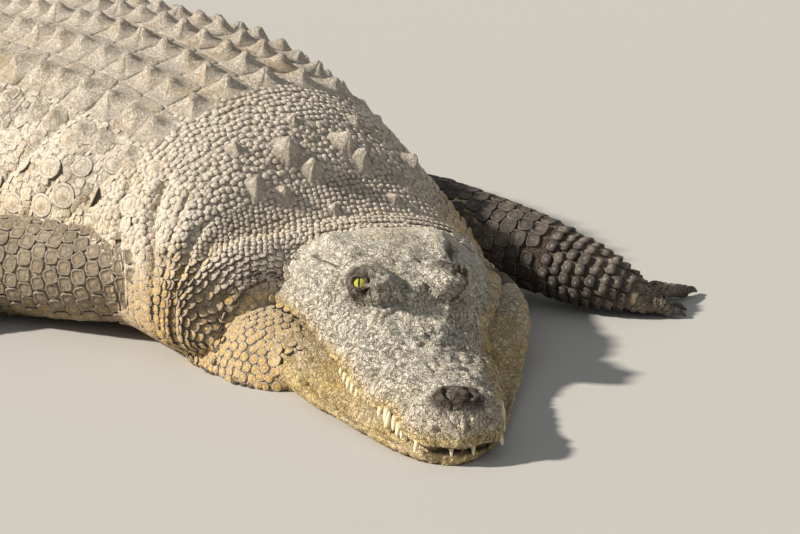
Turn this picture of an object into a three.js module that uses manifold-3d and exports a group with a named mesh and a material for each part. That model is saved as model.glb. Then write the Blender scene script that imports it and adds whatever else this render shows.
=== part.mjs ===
// A life-size Nile crocodile lying on its belly, its head turned to its right.
// Millimetres. +X runs forward along the trunk, +Y to the animal's left, +Z up, and
// the floor is z = 0. A "station" is a distance behind the snout tip, measured along
// the curved spine.

import * as THREE from "three";
import { mergeVertices } from "three/addons/utils/BufferGeometryUtils.js";
import Module from "manifold-3d";

const wasm = await Module();
wasm.setup();

// ---------------------------------------------------------------- driving sizes
const TOTAL_LENGTH = 3600;
const ORIGIN_STATION = 1250; // middle of the trunk
const HEAD_BACK = 562; // where the skull and jaws end
const NECK_BACK = 800;
const TRUNK_MIDDLE = 1290;
const TRUNK_BACK = 1850;
const TAIL_BASE_BACK = 2400;
const TAIL_MIDDLE_BACK = 3000;
const GAP = 0.4; // clear space between neighbouring solids
const SINK = 8; // how far a belly section would pass below the floor before it is flattened

const NECK_BEND = { turn: -28, from: 430, to: 720 }; // degrees, negative is to the right
const TAIL_SWEEP = { turn: -34, from: 1850, to: 2500 };
const TAIL_HOOK = { turn: 52, from: 2650, to: 3450 };

// station, half width, sideways shift, height of the back, height of the widest level
const BODY = [
  [480, 160, 0, 170, 82],
  [562, 270, -52, 200, 82],
  [620, 296, -48, 240, 86],
  [680, 308, -42, 290, 92],
  [760, 316, -30, 336, 102],
  [900, 338, -10, 372, 122],
  [1060, 362, 0, 396, 138],
  [1250, 376, 0, 404, 144],
  [1450, 362, 0, 392, 142],
  [1650, 318, 0, 354, 134],
  [1800, 264, 0, 308, 122],
  [1950, 212, 0, 264, 110],
  [2150, 166, 0, 226, 98],
  [2450, 124, 0, 188, 84],
  [2800, 86, 0, 144, 66],
  [3150, 52, 0, 98, 46],
  [3450, 24, 0, 50, 24],
  [3600, 5, 0, 12, 6],
];
const BACK_ROUNDNESS = 2.1; // exponents of a section's upper and lower halves
const BELLY_ROUNDNESS = 3.4;

// station, top height, shoulder half width and height, lip half width and height
const UPPER_HEAD = [
  [0, 60, 20, 60, 30, 30],
  [8, 80, 42, 76, 54, 30],
  [34, 98, 60, 94, 70, 32],
  [64, 98, 66, 92, 78, 38],
  [98, 92, 66, 86, 84, 46],
  [150, 94, 74, 88, 102, 42],
  [220, 106, 82, 96, 114, 50],
  [290, 130, 86, 118, 122, 60],
  [340, 160, 92, 152, 132, 70],
  [390, 182, 100, 178, 146, 82],
  [450, 196, 112, 190, 170, 94],
  [500, 198, 124, 188, 196, 102],
  [530, 194, 136, 184, 208, 104],
  [562, 188, 148, 176, 214, 102],
];
const HEAD_RINGS = 16;
const HEAD_SIDES = 16;
const HEAD_EASE = (t) => t ** 1.4; // closer rings towards the snout tip
const UPPER_WEIGHT = 1.5; // pull of a section towards its shoulder point

// station, bulge half width and height, floor half width, lip half width
const LOWER_JAW = [
  [0, 22, 18, 10, 20],
  [12, 50, 18, 30, 48],
  [38, 74, 18, 54, 66],
  [74, 92, 18, 72, 76],
  [120, 112, 20, 90, 90],
  [190, 140, 24, 114, 110],
  [262, 168, 34, 142, 118],
  [345, 194, 56, 164, 130],
  [420, 210, 74, 176, 156],
  [480, 222, 84, 176, 184],
  [530, 228, 88, 172, 202],
  [562, 224, 88, 168, 208],
];
const JAW_WEIGHT = 1.1;
const BITE = 1.5; // clear space between the lips
const JAW_SHIFT = -8; // the soft lower jaw lies a little to the right on the floor
const JOWL = { shift: 14, from: 260, to: 420 }; // and its jowls hang a little to the left
const MOUTH_DEPTH = 14; // more than the room between the jaws
const ROOM_SPREAD = 1.012; // keeps the neck clear of the lip's edge
const THROAT = [
  { station: 560, side: -160, height: 0, length: 222, width: 140, rise: 110 },
  { station: 570, side: -185, height: 70, length: 97, width: 130, rise: 112 },
];
const LEAN = 0.042; // the head is rolled slightly to the left
const LEAN_LEVEL = 60;

const EYE = { station: 337, side: 72, height: 166, radius: 19 };
const BROW = { station: 352, side: 58, height: 166, length: 60, width: 33, rise: 36 };
const NOSE_PAD = { station: 36, height: 92, length: 32, width: 34, rise: 13 };

// station of each tooth, its length and its radius at the gum
const UPPER_TEETH = [
  [20, 18, 4], [54, 19, 5], [66, 22, 5], [80, 22, 5], [108, 23, 5], [122, 19, 5],
  [192, 18, 5], [210, 20, 5], [228, 20, 5], [245, 18, 5], [262, 16, 4],
];
const TOOTH_SPLAY = 0.4; // sideways reach for each unit of length
const FRONT_TEETH = { station: 4, side: 16, length: 15, radius: 4 };
const LOWER_FANG = { station: 94, length: 24, radius: 5.5 };

// The keeled shields of the back stand in rows across it.
const SHIELD_ROWS = { from: 850, to: 1820, pitch: 60.5 };
const SHIELD_SIDES = [0.12, 0.34, 0.57]; // share of the half width, on each side
const SHIELD = { length: 54, width: 46, height: 28 };
// station, distance to each side and size of the shields on the neck
const NECK_SHIELDS = [[684, 58, 42], [650, 51, 36], [645, 160, 30], [622, 118, 26], [590, 60, 20]];
// The tail carries two rows of fins that meet in one.
const TWIN_CREST = { from: 1892, to: 2790, pitch: 50, height: 34 };
const SINGLE_CREST = { from: 2815, to: 3530, pitch: 42, height: 52 };
const CREST_THICK = 9;
const TWIN_SHARE = { start: 0.5, fall: 0.24 }; // how the two rows close in
const TWIN_GROWTH = { start: 0.6, gain: 0.5 };
const SINGLE_FALL = 0.55;

// Limb joints: x, y, z, half width, half height
const LIMBS = {
  arm_left: {
    upper: [[450, 180, 135, 74, 70], [600, 264, 108, 68, 66], [772, 322, 76, 60, 62]],
    lower: [[772, 322, 72, 55, 58], [836, 346, 58, 54, 52], [902, 384, 34, 36, 30]],
    palm: [[896, 378, 30, 34, 26], [904, 392, 24, 38, 21], [912, 408, 20, 34, 18]],
    toes: [[40, 42], [56, 48], [90, 112], [104, 92], [126, 66]],
    clawed: 3,
  },
  arm_right: {
    upper: [[530, -210, 130, 90, 84], [380, -296, 100, 86, 84], [196, -392, 84, 76, 78]],
    lower: [[196, -392, 78, 64, 68], [190, -470, 60, 56, 54], [200, -552, 34, 38, 30]],
    palm: [[200, -548, 30, 36, 26], [212, -582, 24, 42, 21], [226, -612, 20, 38, 18]],
    toes: [[-12, 66], [-36, 84], [-60, 96], [-84, 80], [-108, 58]],
    clawed: 3,
  },
  leg_left: {
    upper: [[-560, 150, 150, 110, 100], [-480, 290, 126, 98, 92], [-372, 404, 96, 76, 80]],
    lower: [[-372, 404, 88, 68, 72], [-470, 470, 66, 58, 56], [-572, 512, 42, 40, 38]],
    palm: [[-572, 512, 38, 42, 32], [-530, 560, 28, 54, 24], [-484, 612, 20, 58, 19]],
    toes: [[20, 96], [42, 118], [62, 128], [86, 108]],
    clawed: 3,
  },
  leg_right: {
    upper: [[-560, -150, 150, 110, 100], [-470, -290, 126, 98, 92], [-350, -400, 96, 76, 80]],
    lower: [[-350, -400, 88, 68, 72], [-446, -474, 66, 58, 56], [-548, -520, 42, 40, 38]],
    palm: [[-548, -520, 38, 42, 32], [-502, -564, 28, 54, 24], [-452, -610, 20, 58, 19]],
    toes: [[-14, 96], [-36, 118], [-56, 128], [-80, 108]],
    clawed: 3,
  },
};
const TOE = { rootRadius: 15, tipRadius: 10, spread: 11, setBack: 16, claw: 28, clawRadius: 8 };
const LIMB_NAMES = {
  arm: ["upper_arm", "forearm", "hand"],
  leg: ["thigh", "shin", "foot"],
};

const HIDE = { color: 0xb3a88f, roughness: 0.85, metalness: 0 };
const DARK_HIDE = { color: 0x5d5a50, roughness: 0.8, metalness: 0 };
const JAW_HIDE = { color: 0xc2ab72, roughness: 0.8, metalness: 0 };
const IRIS = { color: 0xb9b83a, roughness: 0.1, metalness: 0 };
const HORN = { color: 0x6a6860, roughness: 0.5, metalness: 0 };

// ------------------------------------------------------------------ small maths
const radians = THREE.MathUtils.degToRad;

function smooth(t) {
  const c = Math.min(1, Math.max(0, t));
  return c * c * (3 - 2 * c);
}

// Cubic reading of a table whose first column rises.
function tableRow(table, at) {
  const last = table.length - 1;
  const s = Math.min(table[last][0], Math.max(table[0][0], at));
  let i = 0;
  while (i < last - 1 && s > table[i + 1][0]) i += 1;
  const slope = (k, c) => {
    const lo = Math.max(0, k - 1);
    const hi = Math.min(last, k + 1);
    return (table[hi][c] - table[lo][c]) / (table[hi][0] - table[lo][0]);
  };
  const span = table[i + 1][0] - table[i][0];
  const t = (s - table[i][0]) / span;
  return table[i].slice(1).map((value, k) => {
    const c = k + 1;
    const rise = (table[i + 1][c] - value) * t * t * (3 - 2 * t);
    const start = t * (1 - t) * (1 - t) * span * slope(i, c);
    const end = t * t * (t - 1) * span * slope(i + 1, c);
    return value + rise + start + end;
  });
}

// ------------------------------------------------------------------------ spine
function bend({ turn, from, to }, station) {
  return turn * smooth((station - from) / (to - from));
}

function heading(station) {
  const neck = NECK_BEND.turn - bend(NECK_BEND, station);
  return radians(neck + bend(TAIL_SWEEP, station) + bend(TAIL_HOOK, station));
}

const SPINE_STEP = 5;

function walkSpine() {
  const count = Math.round(TOTAL_LENGTH / SPINE_STEP);
  const origin = Math.round(ORIGIN_STATION / SPINE_STEP);
  const points = new Array(count + 1);
  points[origin] = [0, 0];
  for (const way of [-1, 1]) {
    for (let i = origin + way; i >= 0 && i <= count; i += way) {
      const angle = heading((i - way / 2) * SPINE_STEP);
      const [x, y] = points[i - way];
      const step = way * SPINE_STEP;
      points[i] = [x - step * Math.cos(angle), y - step * Math.sin(angle)];
    }
  }
  return points;
}

const SPINE = walkSpine();

// The point at a station, a distance to the left of the spine and a height.
function place(station, side, height) {
  const s = Math.min(TOTAL_LENGTH, Math.max(0, station)) / SPINE_STEP;
  const i = Math.min(SPINE.length - 2, Math.floor(s));
  const t = s - i;
  const angle = heading(station);
  const x = SPINE[i][0] * (1 - t) + SPINE[i + 1][0] * t - side * Math.sin(angle);
  const y = SPINE[i][1] * (1 - t) + SPINE[i + 1][1] * t + side * Math.cos(angle);
  return new THREE.Vector3(x, y, height);
}

// --------------------------------------------------------------------- sections
// A section is a function of station and angle that gives side and height.
function bodySection(station, angle, grow = 0) {
  const [half, shift, top, waist] = tableRow(BODY, station);
  const c = Math.cos(angle);
  const s = Math.sin(angle);
  const power = 2 / (s >= 0 ? BACK_ROUNDNESS : BELLY_ROUNDNESS);
  const reach = s >= 0 ? top - waist : waist + SINK;
  const side = shift + Math.sign(c) * Math.abs(c) ** power * (half + grow);
  const height = waist + Math.sign(s) * Math.abs(s) ** power * (reach + grow);
  return [side, Math.max(-grow, height)];
}

const grownBody = (station, angle) => bodySection(station, angle, GAP);

// A rational quadratic arc from start to end, pulled towards the corner.
function arc(start, corner, end, weight, t) {
  const a = (1 - t) * (1 - t);
  const b = 2 * weight * t * (1 - t);
  const c = t * t;
  return [0, 1].map((k) => (a * start[k] + b * corner[k] + c * end[k]) / (a + b + c));
}

function lean([side, height]) {
  const tilt = LEAN * Math.min(1, height / LEAN_LEVEL);
  return [side + LEAN * (height - LEAN_LEVEL), height - tilt * side];
}

// Mirrors a half section; lift runs from -1 underneath to 0 at the side and 1 on top.
function mirrored(angle, half) {
  const lift = Math.asin(Math.sin(angle)) / (Math.PI / 2);
  const [side, height] = half(lift);
  return lean([Math.cos(angle) < 0 ? -side : side, height]);
}

function upperSection(station, angle) {
  const [top, shoulderY, shoulderZ, lipY, lipZ] = tableRow(UPPER_HEAD, station);
  return mirrored(angle, (lift) => {
    if (lift < 0) return [lipY * (1 + lift), lipZ];
    return arc([0, top], [shoulderY, shoulderZ], [lipY, lipZ], UPPER_WEIGHT, 1 - lift);
  });
}

function lowerSection(station, angle) {
  const [bulgeY, bulgeZ, floorY, lipY] = tableRow(LOWER_JAW, station);
  const rim = [lipY, tableRow(UPPER_HEAD, station)[4] - BITE];
  const corner = [2 * bulgeY - (lipY + floorY) / 2, bulgeZ];
  const [side, height] = mirrored(angle, (lift) => {
    if (lift > 0.5) return [rim[0] * (2 - 2 * lift), rim[1]];
    if (lift < -0.5) return [floorY * (2 + 2 * lift), 0];
    return arc(rim, corner, [floorY, 0], JAW_WEIGHT, 0.5 - lift);
  });
  const hang = JOWL.shift * smooth((station - JOWL.from) / (JOWL.to - JOWL.from));
  const level = height / rim[1];
  return [side + JAW_SHIFT * (1 - level) + hang * level, height];
}

// The same head sections swollen by a clear gap.
function swollen(section) {
  return (station, angle) => {
    const [side, height] = section(station, angle);
    const [topSide, topHeight] = section(station, Math.PI / 2);
    const share = Math.hypot(side - topSide, height) + 1;
    const raised = height + (2 * GAP * height) / topHeight;
    return [side + (2 * GAP * (side - topSide)) / share, height < 1 ? -GAP : raised];
  };
}

const grownSkull = swollen(upperSection);
const grownJaw = swollen(lowerSection);

// The skull's underside let down by a depth, so that little room is left in the mouth.
function skullRoom(depth) {
  return (station, angle) => {
    const [side, height] = grownSkull(station, angle);
    return Math.sin(angle) < 0.01 ? [side * ROOM_SPREAD, height - depth] : [side, height];
  };
}

// ----------------------------------------------------------------- basic solids
function bare(geometry) {
  geometry.deleteAttribute("normal");
  geometry.deleteAttribute("uv");
  return mergeVertices(geometry, 1e-4);
}

function moved(geometry, rule) {
  const p = geometry.attributes.position;
  for (let i = 0; i < p.count; i += 1) {
    const v = rule(p.getX(i), p.getY(i), p.getZ(i));
    p.setXYZ(i, v.x, v.y, v.z);
  }
  return solid(bare(geometry));
}

function solid(geometry) {
  const vertProperties = new Float32Array(geometry.attributes.position.array);
  const triVerts = new Uint32Array(geometry.index.array);
  const shape = new wasm.Manifold(new wasm.Mesh({ numProp: 3, vertProperties, triVerts }));
  if (shape.volume() > 0) return shape;
  for (let i = 0; i < triVerts.length; i += 3) {
    [triVerts[i], triVerts[i + 1]] = [triVerts[i + 1], triVerts[i]];
  }
  return new wasm.Manifold(new wasm.Mesh({ numProp: 3, vertProperties, triVerts }));
}

// Bends a closed cylinder into a stretch of the body.
function loft(section, from, to, lengths, rounds, ease = (t) => t) {
  const middle = (station) => {
    const top = section(station, Math.PI / 2);
    const floor = section(station, -Math.PI / 2);
    return [(top[0] + floor[0]) / 2, (top[1] + floor[1]) / 2];
  };
  return moved(new THREE.CylinderGeometry(1, 1, 1, rounds, lengths), (x, y, z) => {
    const station = from + (to - from) * ease(0.5 - y);
    const onAxis = Math.hypot(x, z) < 0.5;
    const [side, height] = onAxis ? middle(station) : section(station, Math.atan2(z, -x));
    return place(station, side, height);
  });
}

// A tube through joints; it is flattened where it meets the floor.
function limb(joints, lengths, rounds, grow = 0) {
  const path = new THREE.CatmullRomCurve3(joints.map(([x, y, z]) => new THREE.Vector3(x, y, z)));
  const sizes = joints.map(([, , , w, h], i) => [i, w, h]);
  const reach = grow / path.getLength();
  return moved(new THREE.CylinderGeometry(1, 1, 1, rounds, lengths), (x, y, z) => {
    const t = 0.5 - y;
    const centre = path.getPoint(t);
    const along = path.getTangent(t);
    const across = new THREE.Vector3(-along.y, along.x, 0).normalize();
    const up = new THREE.Vector3().crossVectors(along, across).normalize();
    const [w, h] = tableRow(sizes, t * (joints.length - 1));
    centre.addScaledVector(across, -x * (w + grow));
    centre.addScaledVector(up, z * (h + grow));
    centre.addScaledVector(along, (t < 0.5 ? -1 : 1) * reach);
    centre.z = Math.max(-grow, centre.z);
    return centre;
  });
}

// An ellipsoid in the frame of the head or body at a station.
function mound(station, side, height, length, width, rise, grow = 0) {
  return moved(new THREE.SphereGeometry(1, 10, 6), (x, y, z) => {
    const [s, h] = lean([side + z * (width + grow), height + y * (rise + grow)]);
    return place(station + x * (length + grow), s, Math.max(-grow, h));
  });
}

function ball([x, y, z, w, h], grow = 0) {
  return moved(new THREE.SphereGeometry(1, 8, 5), (i, j, k) => {
    const height = Math.max(-grow, z + j * (h + grow));
    return new THREE.Vector3(x + i * (w + grow), y - k * (w + grow), height);
  });
}

function joined(shapes) {
  return shapes.reduce((whole, shape) => whole.add(shape));
}

// ------------------------------------------------------------ keels and crests
// The angle of a section that has the given share of its half width.
function angleAt(share) {
  return Math.acos(Math.sign(share) * Math.abs(share) ** (BACK_ROUNDNESS / 2));
}

// A four-sided peak standing on the body.
function peak(station, share, length, width, height) {
  const angle = angleAt(share);
  const at = (s, a) => place(s, ...bodySection(s, a));
  const root = at(station, angle);
  const back = at(station + 1, angle).sub(root).normalize();
  const left = at(station, angle - 0.01).sub(root).normalize();
  const out = new THREE.Vector3().crossVectors(left, back).normalize();
  return moved(new THREE.ConeGeometry(1, 1, 4), (x, y, z) => {
    const lift = y > 0 ? height : -height / 4;
    const trail = y > 0 ? 0.35 * length : 0;
    const point = root.clone().addScaledVector(out, lift);
    point.addScaledVector(back, (z * length) / 2 + trail / 2);
    return point.addScaledVector(left, (x * width) / 2);
  });
}

// The lengths of the body: where each starts and ends, its rings and its sides.
const STRETCHES = {
  neck: [HEAD_BACK, NECK_BACK, 5, 18],
  trunk_front: [NECK_BACK, TRUNK_MIDDLE, 6, 18],
  trunk_rear: [TRUNK_MIDDLE, TRUNK_BACK, 6, 18],
  tail_base: [TRUNK_BACK, TAIL_BASE_BACK, 6, 16],
  tail_middle: [TAIL_BASE_BACK, TAIL_MIDDLE_BACK, 6, 12],
  tail_tip: [TAIL_MIDDLE_BACK, TOTAL_LENGTH, 8, 10],
};

function steps({ from, to, pitch }) {
  return Array.from({ length: Math.floor((to - from) / pitch) + 1 }, (_, i) => from + i * pitch);
}

function bothSides(share) {
  return share === 0 ? [0] : [share, -share];
}

function shieldPeaks() {
  return steps(SHIELD_ROWS).flatMap((station) =>
    SHIELD_SIDES.flatMap(bothSides).map((share) => {
      const size = 1 - 0.35 * Math.abs(share);
      const { length, width, height } = SHIELD;
      return { station, shape: peak(station, share, length, width, height * size) };
    }),
  );
}

function neckPeaks() {
  return NECK_SHIELDS.flatMap(([station, side, size]) => {
    const [half, shift] = tableRow(BODY, station);
    return [side, -side].map((y) => {
      const share = (y - shift / 2) / half;
      return { station, shape: peak(station, share, size * 1.3, size * 1.2, size * 0.7) };
    });
  });
}

function crestPeaks() {
  const fin = (station, share, pitch, height) => ({
    station,
    shape: peak(station, share, pitch * 0.96, CREST_THICK * 2, height),
  });
  const twins = steps(TWIN_CREST).flatMap((station) => {
    const t = (station - TWIN_CREST.from) / (TWIN_CREST.to - TWIN_CREST.from);
    const share = TWIN_SHARE.start - TWIN_SHARE.fall * t;
    const height = TWIN_CREST.height * (TWIN_GROWTH.start + TWIN_GROWTH.gain * t);
    return bothSides(share).map((s) => fin(station, s, TWIN_CREST.pitch, height));
  });
  const single = steps(SINGLE_CREST).map((station) => {
    const t = (station - SINGLE_CREST.from) / (SINGLE_CREST.to - SINGLE_CREST.from);
    return fin(station, 0, SINGLE_CREST.pitch, SINGLE_CREST.height * (1 - SINGLE_FALL * t));
  });
  return [...twins, ...single];
}

const PEAKS = [...shieldPeaks(), ...neckPeaks(), ...crestPeaks()];

// One length of the body with the shields and fins that stand on it.
function stretch(name) {
  const [from, to, lengths, rounds] = STRETCHES[name];
  const margin = SHIELD.length / 2;
  const own = PEAKS.filter(({ station }) => station - margin > from && station + margin <= to);
  return joined([loft(bodySection, from + GAP, to, lengths, rounds), ...own.map(({ shape }) => shape)]);
}

// The room that the body takes up, with a clear gap round it.
function bodyRoom() {
  const lengths = Object.values(STRETCHES).slice(0, 4);
  return joined(lengths.map(([from, to, count, rounds]) => loft(grownBody, from, to + GAP, count, rounds)));
}

// ------------------------------------------------------------------ head pieces
// A cone from its gum at side and height to a tip that hangs down by length.
function tooth(station, side, height, length, radius, grow = 0) {
  const reach = length + Math.sign(length) * 2 * grow;
  const splay = Math.sign(side) * TOOTH_SPLAY * Math.abs(reach);
  return moved(new THREE.ConeGeometry(1, 1, 4), (x, y, z) => {
    const tip = y > 0 ? 1 : 0;
    const r = radius + grow;
    return place(station + x * r, ...lean([side + z * r + tip * splay, height - tip * reach]));
  });
}

function upperTeeth(grow = 0) {
  const rows = UPPER_TEETH.flatMap(([station, length, radius]) => {
    const [, , , lipY, lipZ] = tableRow(UPPER_HEAD, station);
    return [1, -1].map((way) => tooth(station, way * (lipY - 2), lipZ + 4, length, radius, grow));
  });
  const { station, side, length, radius } = FRONT_TEETH;
  const front = [1, -1].map((way) => tooth(station + radius, way * side, 36, length, radius, grow));
  return joined([...rows, ...front]);
}

function lowerFangs(grow = 0) {
  const { station, length, radius } = LOWER_FANG;
  const [, , , lipY] = tableRow(LOWER_JAW, station);
  const root = tableRow(UPPER_HEAD, station)[4] - 6;
  return joined([1, -1].map((way) => tooth(station, way * lipY, root, -length, radius, grow)));
}

function eyeball(way, grow = 0) {
  const { station, side, height, radius } = EYE;
  return mound(station, way * side, height, radius, radius, radius, grow);
}

function upperHead() {
  const { station, side, height, length, width, rise } = BROW;
  const brows = [1, -1].map((way) => mound(station, way * side, height, length, width, rise));
  const pad = mound(NOSE_PAD.station, 0, NOSE_PAD.height, NOSE_PAD.length, NOSE_PAD.width, NOSE_PAD.rise);
  const skull = loft(upperSection, 0, HEAD_BACK, HEAD_RINGS, HEAD_SIDES, HEAD_EASE);
  return joined([skull, ...brows, pad, upperTeeth()])
    .subtract(eyeball(1, GAP))
    .subtract(eyeball(-1, GAP))
    .subtract(lowerFangs(GAP));
}

function lowerJaw() {
  const jaw = loft(lowerSection, 0, HEAD_BACK, HEAD_RINGS, HEAD_SIDES, HEAD_EASE);
  return jaw.subtract(upperTeeth(GAP)).add(lowerFangs());
}

// The skin of the neck bunches up beside the jowl on the inside of the bend.
function neck() {
  const bunches = THROAT.map((m) => mound(m.station, m.side, m.height, m.length, m.width, m.rise));
  const headRoom = (section) => loft(section, 0, HEAD_BACK + GAP, HEAD_RINGS, HEAD_SIDES, HEAD_EASE);
  const sections = [grownJaw, grownSkull, skullRoom(4 * GAP), skullRoom(MOUTH_DEPTH)];
  const room = joined(sections.map(headRoom));
  return stretch("neck").add(joined(bunches).subtract(room));
}

// --------------------------------------------------------------------- assembly
const crocodile = new THREE.Group();

function add(name, shape, look) {
  const { vertProperties, triVerts } = shape.getMesh();
  const geometry = new THREE.BufferGeometry();
  geometry.setAttribute("position", new THREE.BufferAttribute(new Float32Array(vertProperties), 3));
  geometry.setIndex(new THREE.BufferAttribute(new Uint32Array(triVerts), 1));
  const mesh = new THREE.Mesh(geometry, new THREE.MeshStandardMaterial({ ...look, flatShading: true }));
  mesh.name = name;
  crocodile.add(mesh);
}

// The flesh and the claw of one toe; the toes' roots stand side by side across the palm.
function toe(plan, index) {
  const [[x0, y0], [x, y, z]] = [plan.palm[0], plan.palm[plan.palm.length - 1]];
  const [turn, length] = plan.toes[index];
  const palmAngle = Math.atan2(y - y0, x - x0);
  const fan = Math.sign(plan.toes[0][0] - plan.toes[1][0]);
  const across = fan * TOE.spread * ((plan.toes.length - 1) / 2 - index);
  const rootX = x - TOE.setBack * Math.cos(palmAngle) - across * Math.sin(palmAngle);
  const rootY = y - TOE.setBack * Math.sin(palmAngle) + across * Math.cos(palmAngle);
  const angle = radians(turn);
  const { rootRadius, tipRadius } = TOE;
  const point = (d, height, r) => [rootX + d * Math.cos(angle), rootY + d * Math.sin(angle), height, r, r];
  return {
    flesh: [
      point(-6, z, rootRadius),
      point(length * 0.55, z + 3, (rootRadius + tipRadius) / 2),
      point(length, tipRadius + 1, tipRadius),
    ],
    claw: [
      point(length + GAP, tipRadius + 1, TOE.clawRadius),
      point(length + TOE.claw * 0.55, tipRadius, TOE.clawRadius * 0.7),
      point(length + TOE.claw, 3.5, 1.5),
    ],
  };
}

function addLimb(key, plan, body) {
  const [kind, side] = key.split("_");
  const [upperName, lowerName, footName] = LIMB_NAMES[kind];
  const tube = (joints, lengths, grow) => limb(joints, lengths, 8, grow);
  const knee = plan.upper[plan.upper.length - 1];
  const heel = plan.lower[plan.lower.length - 1];
  const upper = (grow) => tube(plan.upper, 4, grow).add(ball(knee, grow));
  const lower = (grow) => tube(plan.lower, 3, grow).add(ball(heel, grow));
  const toes = plan.toes.map((_, i) => toe(plan, i));
  const claws = toes.slice(0, plan.clawed).map(({ claw }) => claw);
  const fingers = joined([tube(plan.palm, 2, 0), ...toes.map(({ flesh }) => limb(flesh, 2, 6))]);
  const foot = claws.reduce((rest, claw) => rest.subtract(limb(claw, 2, 5, GAP)), fingers);
  add(`${upperName}_${side}`, largest(upper(0).subtract(body)), DARK_HIDE);
  add(`${lowerName}_${side}`, largest(lower(0).subtract(upper(GAP)).subtract(body)), DARK_HIDE);
  add(`${footName}_${side}`, largest(foot.subtract(lower(GAP))), DARK_HIDE);
  claws.forEach((claw, i) => {
    add(`${footName}_claw_${side}_${i + 1}`, limb(claw, 2, 5), HORN);
  });
}

// Keeps the main body of a cut shape and drops slivers left on the far side of the cut.
function largest(shape) {
  const pieces = shape.decompose();
  return pieces.reduce((best, piece) => (piece.volume() > best.volume() ? piece : best));
}

add("head_upper", upperHead(), HIDE);
add("lower_jaw", lowerJaw(), JAW_HIDE);
add("eye_left", eyeball(1), IRIS);
add("eye_right", eyeball(-1), IRIS);
add("neck", neck(), HIDE);
Object.keys(STRETCHES).slice(1).forEach((name) => add(name, stretch(name), HIDE));
const body = bodyRoom();
Object.entries(LIMBS).forEach(([key, plan]) => addLimb(key, plan, body));

export default crocodile;
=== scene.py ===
"""A life-size Nile crocodile resting on its belly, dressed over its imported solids.

Lengths are millimetres until a point is placed. A "station" is a distance behind the snout tip
along the curved spine, a "side" is a distance to the animal's left and a "height" is above the floor.
"""
from __future__ import annotations

import logging
import math
from dataclasses import dataclass
from enum import Enum
from typing import Callable

import bpy
import numpy as np
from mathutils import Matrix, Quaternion, Vector
from mathutils.bvhtree import BVHTree

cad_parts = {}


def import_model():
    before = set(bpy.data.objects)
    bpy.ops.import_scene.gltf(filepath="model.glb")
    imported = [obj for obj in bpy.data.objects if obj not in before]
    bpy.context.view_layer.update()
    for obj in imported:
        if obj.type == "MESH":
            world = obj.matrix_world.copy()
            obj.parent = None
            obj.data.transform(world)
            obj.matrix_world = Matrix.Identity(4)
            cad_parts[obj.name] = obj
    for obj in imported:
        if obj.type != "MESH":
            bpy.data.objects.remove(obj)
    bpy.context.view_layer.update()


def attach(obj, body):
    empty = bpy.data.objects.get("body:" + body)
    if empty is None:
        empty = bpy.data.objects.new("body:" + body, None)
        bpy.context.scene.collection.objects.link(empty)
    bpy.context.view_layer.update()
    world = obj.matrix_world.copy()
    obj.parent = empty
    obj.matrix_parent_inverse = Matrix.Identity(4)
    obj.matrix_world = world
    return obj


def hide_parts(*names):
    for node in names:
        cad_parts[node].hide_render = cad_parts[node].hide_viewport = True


LOG = logging.getLogger("crocodile")
MM = 0.001
BAKE_MAP = "OFBake"
PATCH = 0.003  # width of a small scale's patch on the unwrap
HEAD_END = 562.0  # station where the sections of the head end
CHART_START = 340.0  # station where the body's part of the unwrap begins
CHART_FILL = 0.97  # how much of its part of the unwrap a chart fills
LIMB_FILL = 0.9

Array = np.ndarray
Item = bpy.types.Object
Socket = bpy.types.NodeSocket
Material = bpy.types.Material
Pair = tuple[float, float]
Trio = tuple[float, float, float]


# ---- small maths
def smooth(t: Array | float) -> Array:
    """Eases 0..1 with flat ends and clips what lies outside."""
    c = np.clip(t, 0.0, 1.0)
    return c * c * (3.0 - 2.0 * c)


def ramp(value: Array | float, low: float, high: float) -> Array:
    """Rises smoothly from 0 at low to 1 at high, or falls where high is the smaller."""
    return smooth((np.asarray(value, float) - low) / (high - low))


def bell(value: Array | float, width: float) -> Array:
    """A bell curve of height 1 that fades over width."""
    return np.exp(-((np.asarray(value, float) / width) ** 2))


def unit(v: Array) -> Array:
    """Rows scaled to length 1."""
    return v / np.maximum(np.linalg.norm(v, axis=-1, keepdims=True), 1e-12)


def columns(*parts: Array | float) -> Array:
    """Arrays set side by side as the columns of one array."""
    return np.stack(np.broadcast_arrays(*parts), axis=-1)


def norm(rows: Array) -> Array:
    """The length of each row."""
    return np.linalg.norm(rows, axis=-1)


def circle(count: int) -> Array:
    """Angles evenly round a full turn."""
    return np.linspace(0, 2 * np.pi, count, endpoint=False)


def travelled(points: Array) -> Array:
    """The distance along a line at each of its points."""
    return np.concatenate([[0], np.cumsum(norm(np.diff(points, axis=0)))])


def squared(turn: Array, power: float) -> tuple[Array, Array]:
    """A circle pushed towards a square by a power over 2."""
    return tuple(np.sign(part) * np.abs(part) ** (2 / power) for part in (np.cos(turn), np.sin(turn)))


def hashed(cells: Array, seed: int) -> Array:
    """A steady random number from 0 to 1 for each row of whole numbers.

    Args:
        cells: rows of three whole numbers.
        seed: changes the whole pattern.

    Returns:
        One number per row.
    """
    c = cells.astype(np.int64)
    h = c[..., 0] * 374761393 + c[..., 1] * 668265263 + c[..., 2] * 2147483647 + seed * 144665
    h = (h ^ (h >> 13)) * 1274126177 & 0xFFFFFFFF
    h = (h ^ (h >> 16)) * 2246822519 & 0xFFFFFFFF
    return ((h ^ (h >> 15)) & 0xFFFFFF) / float(0xFFFFFF)


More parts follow.
